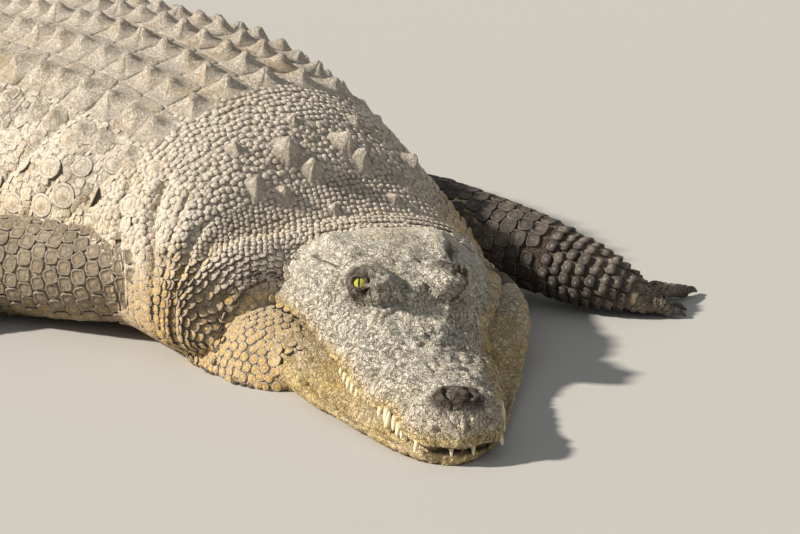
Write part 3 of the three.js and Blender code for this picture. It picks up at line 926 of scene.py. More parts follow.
        cheek = 14 * bell(a - 440, 66) * bell(height - 92, 40) * ramp(side, 60, 150)
        return forms + lumps + fine + trough + ledge + cheek - 0.8

    def shell(self) -> Item:
        """The closed skin of the head, without its eye sockets."""
        plain = self.grid()
        normal = grid_normals(plain)
        lift = self.relief(plain, normal)
        local = plain + normal * lift[..., None]
        local[..., 2] = np.maximum(local[..., 2], 0.0)
        grid = self.place(local)
        grid[..., 2] = np.maximum(grid[..., 2], 0.0)
        item = closed_shell("head_shell", grid, grid[0].mean(axis=0), grid[-1].mean(axis=0))
        set_chart(item, grid_places(grid), Chart.HEAD)
        return item

    def eye_frame(self, way: int) -> tuple[Array, Array]:
        """The centre of an eye and its axes, in metres.

        Args:
            way: 1 for the left eye and -1 for the right.

        Returns:
            The centre, and rows of the across, up and looking directions.
        """
        eye = self.eye
        local = np.array([eye.station, way * eye.side, eye.height])
        centre = self.place(local)
        look = eye.look if way < 0 else eye.look_left
        ahead = self.place(local + [look[0], way * look[1], look[2]]) - centre
        look = unit(ahead)
        up = unit(np.array([0, 0, 1.0]) - look * look[2])
        return centre, np.stack([np.cross(up, look), up, look])

    def lid_shell(self, way: int) -> Item:
        """The lids of one eye: a ball that dips under the eyeball inside an almond rim."""
        eye = self.eye
        centre, axes = self.eye_frame(way)
        sides, outer, inner = 72, 34, 8
        turn = circle(sides)
        wide, tall = eye.opening
        rim = 1.0 / np.sqrt((np.cos(turn) / wide) ** 2 + (np.sin(turn) / tall) ** 2)
        rings = []
        for k in range(inner):
            t = k / inner
            theta = rim * (0.25 + 0.75 * t)
            radius = np.full(sides, eye.radius - 3.5 + 3.0 * t**2)
            rings.append((theta, radius))
        for k in range(outer):
            t = k / (outer - 1)
            theta = rim + (2.7 - rim) * t**1.15
            fold = 1.5 * np.sin((theta - rim) * 17.0) * ramp(t, 0.02, 0.08) * ramp(t, 0.8, 0.45)
            round_over = eye.lid * ramp(t, -0.05, 0.08)
            bulge = 2.5 * np.maximum(np.sin(turn), 0) * bell(t - 0.18, 0.18)
            rings.append((theta, eye.radius + round_over + fold + bulge))
        grid = []
        for theta, radius in rings:
            flat = columns(np.sin(theta) * np.cos(turn), np.sin(theta) * np.sin(turn), np.cos(theta))
            grid.append(flat * radius[:, None])
        grid = np.array(grid)
        seed = 31 if way > 0 else 37
        knob = 1.5 * rough(grid, 7.0, 2, seed) * (np.arange(len(grid)) > inner + 1)[:, None]
        grid = grid + unit(grid) * knob[..., None]
        return self.charted(f"lid_{way}", centre + grid @ axes * MM)

    def charted(self, name: str, grid: Array) -> Item:
        """A closed shell that shares a small corner of the head's chart."""
        item = closed_shell(name, grid, grid[0].mean(axis=0), grid[-1].mean(axis=0))
        set_chart(item, grid_places(grid) * self.lid_patch[1] + self.lid_patch[0], Chart.HEAD)
        return item

    def socket(self, way: int) -> Item:
        """The room that the lids and the eye take out of the skull."""
        centre, axes = self.eye_frame(way)
        sides = 40
        turn = circle(sides)
        rings = []
        radius = self.eye.radius + 0.8
        for theta in np.linspace(2.9, 1.25, 14):
            rings.append((radius * math.sin(theta), radius * math.cos(theta)))
        rings.append((radius * 1.05, radius * 1.9))
        wide = [columns(r * np.cos(turn), r * np.sin(turn), np.full(sides, z)) for r, z in rings]
        grid = centre + np.array(wide) @ axes * MM
        return self.charted(f"socket_{way}", grid)


Joint = tuple[float, float, float, float, float]


@dataclass(frozen=True)
class Tube:
    """A limb segment through joints of x, y, z, half width and half height."""

    joints: tuple[Joint, ...]

    def table(self) -> Table:
        """The joints with the distance along the tube as their first column."""
        points = np.array(self.joints, float)
        return Table(tuple(tuple(row) for row in np.column_stack([travelled(points[:, :3]), points])))

    def length(self) -> float:
        """The tube's length between its end joints."""
        return self.table().rows[-1][0]

    def frame(self, along: Array) -> tuple[Array, ...]:
        """The middle, the across, up and forward directions and the half sizes at a distance along."""
        table = self.table()
        x, y, z, wide, high = table.read(along)
        ahead = unit(np.stack(table.read(along + 1.0)[:3] - table.read(along - 1.0)[:3], axis=-1))
        across = unit(columns(-ahead[..., 1], ahead[..., 0], 0 * x))
        up = np.cross(ahead, across)
        return columns(x, y, z), across, up, ahead, wide, high

    def point(self, along: Array, turn: Array, inset: float = 0.0) -> tuple[Array, Array]:
        """Points of the tube's surface and their outward directions.

        Args:
            along: distance along the tube.
            turn: angle round it, a quarter turn on top.
            inset: how far inside the plain tube.

        Returns:
            Points in millimetres and unit directions.
        """
        middle, across, up, _, wide, high = self.frame(along)
        c, s = np.cos(turn)[..., None], np.sin(turn)[..., None]
        wide, high = (wide - inset)[..., None], (high - inset)[..., None]
        return middle + across * c * wide + up * s * high, unit(across * c / wide + up * s / high)

    def shell(self, name: str, sides: int, inset: float, step: float = 6.0) -> Item:
        """The closed tube with rounded ends."""
        turn = circle(sides)
        length = self.length()
        caps = []
        for end, way in ((0.0, -1), (length, 1)):
            middle, across, up, ahead, wide, high = self.frame(np.array(end))
            cap = []
            for lift in (1.35, 1.0, 0.6, 0.25):
                shrink = math.cos(lift)
                reach = math.sin(lift) * 0.6 * float(min(wide, high)) * way
                ring = (across * np.cos(turn)[:, None] * (wide - inset) * shrink
                        + up * np.sin(turn)[:, None] * (high - inset) * shrink)
                cap.append(middle + ahead * reach + ring)
            caps.append(cap[::-way])
        along = np.linspace(0, length, max(3, round(length / step)))
        body = [self.point(np.array(s), turn, inset)[0] for s in along]
        grid = np.array(caps[0] + body + caps[1])
        grid[..., 2] = np.maximum(grid[..., 2], 0.0)
        grid = grid * MM
        return closed_shell(name, grid, grid[0].mean(axis=0), grid[-1].mean(axis=0))


@dataclass(frozen=True)
class Limb:
    """One leg: upper and lower segments, palm and toes."""

    name: str
    chart: Chart
    upper: tuple[Joint, ...]
    lower: tuple[Joint, ...]
    palm: tuple[Joint, ...]
    toes: tuple[Pair, ...]
    voxel: float  # how fine its skin is
    clawed: int = 3
    root_radius: float = 15.0  # of a toe
    tip_radius: float = 10.0
    spread: float = 11.0  # between the roots of the toes
    set_back: float = 16.0
    claw: float = 28.0  # length
    claw_radius: float = 8.0

    def toe(self, index: int) -> tuple[tuple[Joint, ...], tuple[Joint, ...]]:
        """The joints of a toe's flesh and of its claw."""
        (x0, y0), (x, y, z) = self.palm[0][:2], self.palm[-1][:3]
        turn, length = self.toes[index]
        palm = math.atan2(y - y0, x - x0)
        fan = math.copysign(1, self.toes[0][0] - self.toes[1][0])
        across = fan * self.spread * ((len(self.toes) - 1) / 2 - index)
        root_x = x - self.set_back * math.cos(palm) - across * math.sin(palm)
        root_y = y - self.set_back * math.sin(palm) + across * math.cos(palm)
        angle = math.radians(turn)

        def joint(d: float, height: float, radius: float) -> Joint:
            """A joint at a distance along the toe."""
            return (root_x + d * math.cos(angle), root_y + d * math.sin(angle), height, radius, radius)

        flesh = (joint(-6, z, self.root_radius),
                 joint(length * 0.55, z + 3, (self.root_radius + self.tip_radius) / 2),
                 joint(length, self.tip_radius + 1, self.tip_radius))
        claw = (joint(length - 5, self.tip_radius + 2, self.claw_radius * 0.9),
                joint(length + self.claw * 0.5, self.tip_radius + 1, self.claw_radius * 0.72),
                joint(length + self.claw - 2, 4.5, 1.8))
        return flesh, claw

    def tubes(self) -> list[Tube]:
        """The segments of flesh, from the body out."""
        toes = [Tube(self.toe(k)[0]) for k in range(len(self.toes))]
        return [Tube(self.upper), Tube(self.lower), Tube(self.palm), *toes]

    def shell(self) -> Item:
        """The closed, softened skin of the limb."""
        whole: Item | None = None
        for k, tube in enumerate(self.tubes()):
            part = tube.shell(f"{self.name}_{k}", 28, 2.0 if k < 3 else 1.2)
            whole = part if whole is None else combined(whole, part)
        remesh = whole.modifiers.new("even", "REMESH")
        remesh.mode = "VOXEL"
        remesh.voxel_size = self.voxel * MM
        soften = whole.modifiers.new("soften", "SMOOTH")
        soften.factor = 0.5
        soften.iterations = 5
        item = baked(whole, self.name)
        on_floor(item)
        self.unwrap(item)
        return item

    def unwrap(self, item: Item) -> None:
        """Charts the limb by its distance along the segments and its angle round them."""
        points, _ = mesh_arrays(item.data)
        path = np.array([j[:3] for j in self.upper + self.lower[1:] + self.palm[1:]]) * MM
        steps = norm(np.diff(path, axis=0))
        starts = np.concatenate([[0], np.cumsum(steps)])
        best = np.full(len(points), 9.0)
        along, turn = np.zeros(len(points)), np.zeros(len(points))
        for k, (a, b) in enumerate(zip(path[:-1], path[1:])):
            t = (points - a) @ (b - a) / ((b - a) @ (b - a))
            if k < len(path) - 2:
                t = np.minimum(t, 1.0)
            off = points - a - np.maximum(t, 0)[:, None] * (b - a)
            ahead = unit((b - a)[None])[0]
            across = unit(np.array([[-ahead[1], ahead[0], 0]]))[0]
            near = norm(off)
            use = near < best
            best[use] = near[use]
            along[use] = (starts[k] + np.maximum(t, 0) * steps[k])[use]
            turn[use] = np.arctan2(off @ np.cross(ahead, across), off @ across)[use]
        places = columns(along / along.max(), turn / (2 * np.pi) + 0.5)
        lay_round(item.data, places, self.chart, LIMB_FILL)


LIMBS = (
    Limb("arm_left", Chart.ARM_LEFT,
         ((450, 180, 135, 74, 70), (600, 264, 108, 68, 66), (772, 322, 76, 60, 62)),
         ((772, 322, 72, 55, 58), (836, 346, 58, 54, 52), (902, 384, 34, 36, 30)),
         ((896, 378, 30, 34, 26), (904, 392, 24, 38, 21), (912, 408, 20, 34, 18)),
         ((40, 42), (56, 48), (90, 112), (104, 92), (126, 66)), 6.5),
    Limb("arm_right", Chart.ARM_RIGHT,
         ((530, -210, 130, 90, 84), (380, -296, 100, 86, 84), (196, -392, 84, 76, 78)),
         ((196, -392, 78, 64, 68), (190, -470, 60, 56, 54), (200, -552, 34, 38, 30)),
         ((200, -548, 30, 36, 26), (212, -582, 24, 42, 21), (226, -612, 20, 38, 18)),
         ((-12, 66), (-36, 84), (-60, 96), (-84, 80), (-108, 58)), 7.5),
    Limb("leg_left", Chart.LEG_LEFT,
         ((-560, 150, 150, 110, 100), (-480, 290, 126, 98, 92), (-372, 404, 96, 76, 80)),
         ((-372, 404, 88, 68, 72), (-470, 470, 66, 58, 56), (-572, 512, 42, 40, 38)),
         ((-572, 512, 38, 42, 32), (-530, 560, 28, 54, 24), (-484, 612, 20, 58, 19)),
         ((20, 96), (42, 118), (62, 128), (86, 108)), 9.0),
    Limb("leg_right", Chart.LEG_RIGHT,
         ((-560, -150, 150, 110, 100), (-470, -290, 126, 98, 92), (-350, -400, 96, 76, 80)),
         ((-350, -400, 88, 68, 72), (-446, -474, 66, 58, 56), (-548, -520, 42, 40, 38)),
         ((-548, -520, 38, 42, 32), (-502, -564, 28, 54, 24), (-452, -610, 20, 58, 19)),
         ((-14, 96), (-36, 118), (-56, 128), (-80, 108)), 9.0),
)


# ---- markings and the one skin
def paint(points: Array, limb: Array | float = 0.0) -> dict[str, Array]:
    """The markings of the hide, with a painted shadow on the left arm, the same for the skin and for all that
    stands on it.

    Args:
        points: rows of x, y and z in metres.
        limb: 1 where a point belongs to a leg.

    Returns:
        How ochre, how dark and how dusty each point is, from 0 to 1.
    """
    a, side, height = SPINE.locate(points).T
    local = points / MM
    patch = rough(local, 90, 3, 51)
    head = ramp(a, 600, 560) * (1 - limb)
    lip = Head.upper.read(np.clip(a, 0, HEAD_END))[4]
    jaw = head * ramp(height - lip, 6, -4)
    cheek = head * (1 - jaw) * ramp(height - lip, 26, 6) * 0.8
    throat = ramp(a, 540, 575) * ramp(a, 850, 620) * ramp(height, 225, 110) * (1 - limb)
    flank = ramp(a, 700, 900) * ramp(height, 330, 60) * 0.6 * (1 - limb)
    jaw = jaw * (0.26 + 0.42 * ramp(height, 112, 40))
    ochre = np.clip(np.maximum.reduce([jaw, cheek, throat, flank]) + 0.3 * patch, 0, 1)
    band = 0.5 + 0.5 * np.sin(a / 48.0 + 2 * rough(local, 160, 2, 8))
    tail = ramp(a, 1700, 2000)
    blotch = ramp(rough(local, 110, 2, 77), 0.15, 0.6)
    dark = np.clip(0.25 * blotch + tail * band * 0.55 + 0.12 * patch, 0, 1) * (1 - head)
    # painted shadow: the left arm lies in the body's shadow, so it is made darker away from the body
    far = ramp(side, 150, 230) * ramp(a, 1000, 900)
    dark = np.maximum(dark, limb * (0.44 + 0.44 * far + 0.34 * patch))
    eye = norm(columns(a - 337, np.abs(side) - 72, height - 166))
    dark = np.maximum(dark, head * bell(np.maximum(eye - 24, 0), 15) * 0.85)
    nose = np.hypot(a - 24, np.abs(side) * 0.95)
    dark = np.maximum(dark, head * ramp(nose, 52, 30) * ramp(height, 70, 88) * 0.95)
    dust = np.clip(ramp(height / np.maximum(lip, 60), 0.9, 1.6) * (1 - limb) + 0.25 * patch, 0, 1)
    low = limb * (0.15 + 0.5 * ramp(height, 70, 20) * ramp(side, 420, 330))
    ochre = ochre * (1 - limb) + low
    return {"ochre": ochre, "dark": dark, "dust": dust}


@dataclass
class Roots:
    """Where scales stand: places, directions, sizes and shapes, one row for each."""

    point: Array
    normal: Array
    ahead: Array
    size: Array
    kind: Array
    limb: float = 0.0
    place: Array | None = None

    def keep(self, use: Array) -> Roots:
        """The rows chosen by a mask."""
        place = None if self.place is None else self.place[use]
        return Roots(self.point[use], self.normal[use], self.ahead[use], self.size[use],
                     self.kind[use], self.limb, place)

    def turns(self) -> Array:
        """Euler angles that stand each scale on its normal, its length along ahead."""
        z = unit(self.normal)
        y = unit(self.ahead - z * (self.ahead * z).sum(1, keepdims=True))
        x = np.cross(y, z)
        second = np.arcsin(np.clip(-x[:, 2], -1, 1))
        return columns(np.arctan2(y[:, 2], z[:, 2]), second, np.arctan2(x[:, 1], x[:, 0]))


@dataclass
class Skin:
    """One closed hide over head, body and legs."""

    body: Body
    head: Head
    limbs: tuple[Limb, ...]
    item: Item | None = None
    tree: BVHTree | None = None
    points: Array | None = None
    triangles: Array | None = None
    corner_places: Array | None = None

    def build(self) -> Item:
        """Joins the forms into one solid and stores its markings."""
        head = self.head.shell()
        for way in (1, -1):
            head = combined(head, self.head.socket(way), "DIFFERENCE")
            head = combined(head, self.head.lid_shell(way))
        whole = combined(self.body.shell(), head)
        for limb in self.limbs:
            whole = combined(whole, limb.shell())
        whole.name = "skin"
        whole.data.name = "skin"
        self.item = whole
        self.dress()
        return whole

    def on_limb(self, points: Array) -> Array:
        """1 where a point lies on a leg rather than on the body or the head."""
        a, side, height = SPINE.locate(points).T
        half, shift, top, _ = self.body.sections.read(np.maximum(a, 486))
        outside = np.abs(side - shift) - half
        leg = ramp(outside, -6, 14) * (a > 500)
        reach = np.abs(points[:, 1]) / MM
        return np.where((a < 560) & (points[:, 0] / MM < 1080) & (reach > 150) & (side < -215), 1.0, leg)

    def dress(self) -> None:
        """Stores the markings and the painted shade, and indexes the surface for what stands on it."""
        mesh = self.item.data
        points, triangles = mesh_arrays(mesh)
        limb = self.on_limb(points)
        for name, values in paint(points, limb).items():
            put_values(mesh, name, values)
        a, side, height = SPINE.locate(points).T
        lip_y, lip_z = self.head.upper.read(np.clip(a, 0, HEAD_END))[3:5]
        level = height + self.head.lean * side
        under = lip_z - level
        toothed = ramp(a, 300, 262)
        # painted shade: a dark band along the shut mouth and down the gum trough that the teeth hang in
        mouth = ramp(under, 0.5, 3) * ramp(under, 9 + 8 * toothed, 5 + 5 * toothed)
        outside = np.abs(side) - lip_y
        mouth = mouth * ramp(outside, -50, -30) * ramp(outside, 9, 1) * ramp(a, 545, 510)
        # painted shade in the ear slit
        ear = self.head.ear
        ear = ear.sink(columns(a, np.abs(side))) / ear.depth * (level > lip_z + 30)
        # gap holds painted shade: mouth line, ear slit, and the skin between the scales of neck, body and
        # legs
        gaps = [0.5 * ramp(a, 566, 600), 0.6 * limb, 1.9 * mouth, 1.6 * ear]
        put_values(mesh, "gap", np.maximum.reduce(gaps))
        put_values(mesh, "crack", ramp(a, 600, 380) * (1 - limb) * (1 - 0.4 * ramp(lip_z - level, 0, 8)))
        put_values(mesh, "rise", np.full(len(points), 0.6))
        mesh.polygons.foreach_set("use_smooth", np.ones(len(mesh.polygons), bool))
        self.tree = BVHTree.FromPolygons(points.tolist(), triangles.tolist())
        self.triangles = triangles
        self.points = points
        loops = np.empty(len(mesh.loop_triangles) * 3, np.int32)
        mesh.loop_triangles.foreach_get("loops", loops)
        uv = np.empty(len(mesh.loops) * 2, np.float32)
        mesh.uv_layers[BAKE_MAP].data.foreach_get("uv", uv)
        self.corner_places = uv.reshape(-1, 2)[loops.reshape(-1, 3)]

    def settle(self, roots: Roots, reach: float = 30.0, slack: float = 9.0) -> Roots:
        """Moves roots onto the hide along their normals.

        Args:
            roots: scales near the hide.
            reach: how far outside the root the search starts, in millimetres.
            slack: how far the hide may be from the root.

        Returns:
            The roots that found the hide, with their places on its unwrap.
        """
        origin = roots.point + roots.normal * reach * MM
        found = []
        for k, (start, way) in enumerate(zip(origin.tolist(), (-roots.normal).tolist())):
            spot, normal, face, distance = self.tree.ray_cast(Vector(start), Vector(way), 2 * reach * MM)
            if spot is not None and abs(distance / MM - reach) < slack:
                found.append((k, *spot, *normal, face))
        if not found:
            return roots.keep(np.zeros(len(origin), bool))
        rows = np.array(found)
        kept = roots.keep(rows[:, 0].astype(int))
        kept.point = rows[:, 1:4]
        steep = (kept.normal * rows[:, 4:7]).sum(axis=1) < 0.9
        kept.normal = unit(kept.normal * 0.75 + rows[:, 4:7] * 0.25)
        face = rows[:, 7].astype(int)
        a, b, c = (self.points[self.triangles[face, i]] for i in range(3))
        kept.place = self.weigh(kept.point, a, b, c, self.corner_places[face])
        return kept.keep(~steep | (kept.kind != list(Shape).index(Shape.OVAL)))

    @staticmethod
    def weigh(p: Array, a: Array, b: Array, c: Array, values: Array) -> Array:
        """Reads corner values at points inside triangles.

        Args:
            p: the points.
            a: first corners.
            b: second corners.
            c: third corners.
            values: an array of triangles, corners and values.

        Returns:
            One row of values per point.
        """
        u, v, w = b - a, c - a, p - a
        uu, uv, vv = (u * u).sum(1), (u * v).sum(1), (v * v).sum(1)
        wu, wv = (w * u).sum(1), (w * v).sum(1)
        base = np.maximum(uu * vv - uv * uv, 1e-18)
        s = np.clip((vv * wu - uv * wv) / base, 0, 1)
        t = np.clip((uu * wv - uv * wu) / base, 0, 1)
        return values[:, 0] * (1 - s - t)[:, None] + values[:, 1] * s[:, None] + values[:, 2] * t[:, None]


# ---- scales
class Shape(Enum):
    """Small scales: sides, outline power, keel, tilt and rings of radius, height and shade."""

    GRANULE = (7, 2.6, 0.0, 0.0, ((1.0, -0.8, 0.0), (1.0, 0.0, 0.1), (0.78, 0.66, 0.8), (0.4, 0.95, 1.0)))
    OVAL = (14, 2.2, 0.5, 0.1, ((1.1, -0.8, 0.0), (1.06, 0.0, 0.0), (0.94, 0.5, 1.0), (0.78, 0.12, 0.25),
                                (0.46, 0.5, 0.8), (0.2, 1.3, 1.0)))
    PLATE = (8, 3.2, 0.3, 0.1, ((1.0, -0.8, 0.0), (1.0, 0.1, 0.1), (0.84, 0.78, 1.0), (0.46, 0.7, 0.7)))
    RIMMED = (10, 4.0, 0.2, 0.25, ((1.0, -0.8, 0.0), (1.0, 0.1, 0.05), (0.9, 0.8, 1.0), (0.74, 0.4, 0.3),
                                   (0.36, 0.6, 0.45)))
    THROAT = (9, 2.6, 0.0, 0.0, ((1.0, -0.8, 0.0), (1.0, 0.0, 0.0), (0.84, 0.7, 1.0), (0.6, 0.4, 0.4),
                                 (0.3, 0.8, 0.8)))
    KEELED = (8, 3.4, 0.9, 0.25, ((1.0, -0.8, 0.0), (1.0, 0.1, 0.1), (0.86, 0.7, 0.8), (0.5, 0.95, 1.0)))
    BAND = (8, 3.6, 0.2, 0.8, ((1.0, -0.8, 0.0), (1.0, 0.1, 0.1), (0.9, 0.7, 0.9), (0.5, 0.85, 0.75)))


class ScaleShapes:
    """The few small meshes that every field of scales repeats."""

    def __init__(self) -> None:
        """Builds one mesh for each shape, in a collection outside the scene."""
        self.collection = bpy.data.collections.new("scale_shapes")
        self.items = [self.build(k, shape) for k, shape in enumerate(Shape)]

    def build(self, index: int, shape: Shape) -> Item:
        """Makes one scale of half width and half length 1 and height 1.

        Args:
            index: its number among the shapes.
            shape: its form.

        Returns:
            The mesh object, with local and rise attributes.
        """
        sides, power, keel, tilt, profile = shape.value
        x, y = squared(circle(sides) + 0.3, power)
        rings = [columns(r * x, r * y, np.full(sides, h)) for r, h, _ in profile]
        grid = np.array(rings)
        top = profile[-1][1] + 0.05 + (0.35 if shape is Shape.OVAL else 0.0)
        ridge = keel * bell(grid[..., 0], 0.34) * ramp(grid[..., 1], -0.9, 0.3) * ramp(grid[..., 1], 1.1, 0.4)
        raised = grid[..., 2] > 0.2
        grid[..., 2] += raised * (ridge + tilt * grid[..., 1] * 0.5)
        apex = np.array([0.0, 0.0, top + keel * 0.6])
        item = closed_shell(f"shape_{index}", grid, np.array([0, 0, -0.6]), apex)
        bpy.context.scene.collection.objects.unlink(item)
        self.collection.objects.link(item)
        points, _ = mesh_arrays(item.data)
        put_values(item.data, "local", points * [0.5, 0.5, 0.0])
        # each ring's shade is stored as rise: painted shade at the foot and in the dish, a painted highlight,
        # partly dust, on the rims and top
        shade = np.repeat([ring[2] for ring in profile], sides)
        put_values(item.data, "rise", np.concatenate([shade, [0.0, 1.0]]))
        put_values(item.data, "core", ramp(np.hypot(points[:, 0], points[:, 1]), 0.95, 0.35))
        return item

    def clear(self) -> None:
        """Removes the shapes once all fields stand."""
        drop(*self.items)
        bpy.data.collections.remove(self.collection)


class ScaleTree:
    """The node tree that stands a scale on every root."""

    def __init__(self) -> None:
        """Builds the tree with its named inputs."""
        self.tree = bpy.data.node_groups.new("stand_scales", "GeometryNodeTree")
        face = self.tree.interface
        kinds = (("Roots", "Geometry"), ("Shapes", "Collection"), ("Finish", "Material"),
                 ("Unevenness", "Float"), ("Seed", "Int"))
        for name, kind in kinds:
            face.new_socket(name, in_out="INPUT", socket_type=f"NodeSocket{kind}")
        face.new_socket("Scales", in_out="OUTPUT", socket_type="NodeSocketGeometry")
        self.wire()

    def wire(self) -> None:
        """Links the nodes from the roots to the finished scales."""
        g = Graph(self.tree)

        def stored(name: str, kind: str) -> Socket:
            """A stored value of the roots."""
            node = g.add("GeometryNodeInputNamedAttribute", {"data_type": kind}, {"Name": name})
            return next(s for s in node.outputs if s.name == "Attribute" and s.enabled)

        given, out = g.add("NodeGroupInput").outputs, g.add("NodeGroupOutput")
        shapes = g.add("GeometryNodeCollectionInfo", {}, {
            "Separate Children": True, "Reset Children": True, "Collection": given["Shapes"]})
        stand = g.add("GeometryNodeInstanceOnPoints", {}, {
            "Pick Instance": True, "Points": given["Roots"], "Instance": shapes.outputs[0],
            "Instance Index": stored("kind", "INT"), "Rotation": stored("turn", "FLOAT_VECTOR")})
        chance = g.add("FunctionNodeRandomValue", {"data_type": "FLOAT"}, {"Seed": given["Seed"]})
        least, most = (next(s for s in chance.inputs if s.name == n and s.enabled) for n in ("Min", "Max"))
        most.default_value = 1.0
        self.tree.links.new(g.math("SUBTRACT", 1.0, given["Unevenness"]), least)
        share = next(s for s in chance.outputs if s.enabled)
        vary = g.add("ShaderNodeVectorMath", {"operation": "SCALE"},
                     {0: stored("size", "FLOAT_VECTOR"), "Scale": share})
        self.tree.links.new(vary.outputs[0], stand.inputs["Scale"])
        real = g.add("GeometryNodeRealizeInstances", {}, {0: stand.outputs[0]})
        finish = g.add("GeometryNodeSetMaterial", {}, {
            "Geometry": real.outputs[0], "Material": given["Finish"]})
        self.tree.links.new(finish.outputs[0], out.inputs[0])

    def run(self, name: str, roots: list[Roots], shapes: ScaleShapes,
            finish: Material, unevenness: float = 0.14) -> Item:
        """Stands scales on settled roots as one plain mesh.

        Args:
            name: the piece's name.
            roots: the settled roots.
            shapes: the meshes to repeat.
            finish: the scales' material.
            unevenness: how much smaller a scale may be than its size.

        Returns:
            The piece, with its unwrap.
        """
        points = np.vstack([r.point for r in roots])
        item = new_object(name, points, [])
        mesh = item.data
        put_values(mesh, "turn", np.vstack([r.turns() for r in roots]))
        put_values(mesh, "size", np.vstack([r.size for r in roots]) * MM)
        kinds = np.concatenate([r.kind for r in roots]).astype(np.int32)
        mesh.attributes.new("kind", "INT", "POINT").data.foreach_set("value", kinds)
        place = np.vstack([r.place for r in roots])
        put_values(mesh, "root", np.column_stack([place, np.zeros(len(place))]))
        limb = np.concatenate([np.full(len(r.point), r.limb) for r in roots])
        for key, values in paint(points, limb).items():
            put_values(mesh, key, values)
        change = item.modifiers.new("scales", "NODES")
        change.node_group = self.tree
        given = {s.name: s.identifier for s in self.tree.interface.items_tree if s.in_out == "INPUT"}
        change[given["Shapes"]] = shapes.collection
        change[given["Finish"]] = finish
        change[given["Unevenness"]] = unevenness
        change[given["Seed"]] = 7
        result = baked(item, name)
        self.unwrap(result)
        on_floor(result)
        return result

    @staticmethod
    def unwrap(item: Item) -> None:
        """Lays each scale as a small patch at its root's place on the hide's unwrap."""
        mesh = item.data
        spot = get_values(mesh, "root", 3)[:, :2] + get_values(mesh, "local", 3)[:, :2] * PATCH
        write_map(mesh, spot[corners(mesh)])
        for name in ("root", "local", "turn", "size", "kind"):
            if name in mesh.attributes:
                mesh.attributes.remove(mesh.attributes[name])
        mesh.polygons.foreach_set("use_smooth", np.ones(len(mesh.polygons), bool))


@dataclass(frozen=True)
class Rows:
    """Rows of scales across a stretch of the body."""

    span: Pair
    pitch: float
    width: float
    arc: Pair  # degrees, 0 on the left, 90 on top
    height: float
    shape: Shape
    jitter: float = 0.16
    fill: float = 0.52
    measure: float = 0.0  # the angle at which the pitch is measured, if not mid arc

    def stations(self, body: Body) -> Array:
        """Stations of the rows, evenly apart along the surface at the middle of the arc."""
        fine = np.linspace(*self.span, 400)
        line = body.surface(fine, np.full(400, math.radians(self.measure or sum(self.arc) / 2)))
        path = travelled(line)
        return np.interp(np.arange(0, path[-1], self.pitch), path, fine)

    def lay(self, body: Body, seed: int) -> tuple[Array, Array]:
        """Stations and angles of the scales.

        Args:
            body: the form to cover.
            seed: for the unevenness.

        Returns:
            Two arrays of the same length.
        """
        random = np.random.default_rng(seed)
        stations, angles = [], []
        fine = np.radians(np.linspace(*self.arc, 240))
        for k, station in enumerate(self.stations(body)):
            ring = body.surface(np.full(240, station), fine)[:, 1:]
            arc = travelled(ring)
            count = max(1, round(arc[-1] / self.width))
            spots = (np.arange(count) + 0.25 + 0.5 * (k % 2)) / count * arc[-1]
            spots = spots + random.normal(0, self.jitter * self.width, count)
            stations.append(station + random.normal(0, self.jitter * self.pitch, count))
            angles.append(np.interp(spots, arc, fine))
        return np.concatenate(stations), np.concatenate(angles)

    def roots(self, body: Body, seed: int, mask: Callable[[Array], Array]) -> Roots:
        """The scales' roots before they settle.

        Args:
            body: the form to cover.
            seed: for the unevenness.
            mask: says which rows of station, side and height are wanted.

        Returns:
            Roots along the body's surface.
        """
        station, angle = self.lay(body, seed)
        use = mask(body.surface(station, angle))
        station, angle = station[use], angle[use]
        local, normal = body.surface(station, angle), body.outward(station, angle)
        point = SPINE.place(*local.T)
        out = unit(SPINE.place(*(local + normal).T) - point)
        ahead = unit(SPINE.place(*(local + [3.0, 0, 0]).T) - point)
        size = np.tile([self.width * self.fill, self.pitch * self.fill, self.height], (len(point), 1))
        kind = np.full(len(point), list(Shape).index(self.shape))
        return Roots(point, out, ahead, size.astype(float), kind)


def anywhere(local: Array) -> Array:
    """A mask that wants every place."""
    return np.ones(len(local), bool)


def clear_of(roots: Roots, blockers: Array, sizes: Array) -> Roots:
    """Drops the scales whose root is inside a larger scale.

    Args:
        roots: the small scales.
        blockers: the larger scales' places, in metres.
        sizes: their radii, in metres.

    Returns:
        The scales that stand clear.
    """
    use = np.ones(len(roots.point), bool)
    for k in range(0, len(roots.point), 2000):
        gap = np.linalg.norm(roots.point[k : k + 2000, None] - blockers[None], axis=2) - sizes
        use[k : k + 2000] = gap.min(axis=1) > 0
    return roots.keep(use)


@dataclass(frozen=True)
class Shield:
    """A large keeled scale draped over the body."""

    station: float
    side: float
    half: Pair  # half length and half width
    rise: float
    power: float = 5.0
    lean: float = 0.35  # how far back its peak stands, as a share of the half length
    seed: int = 0


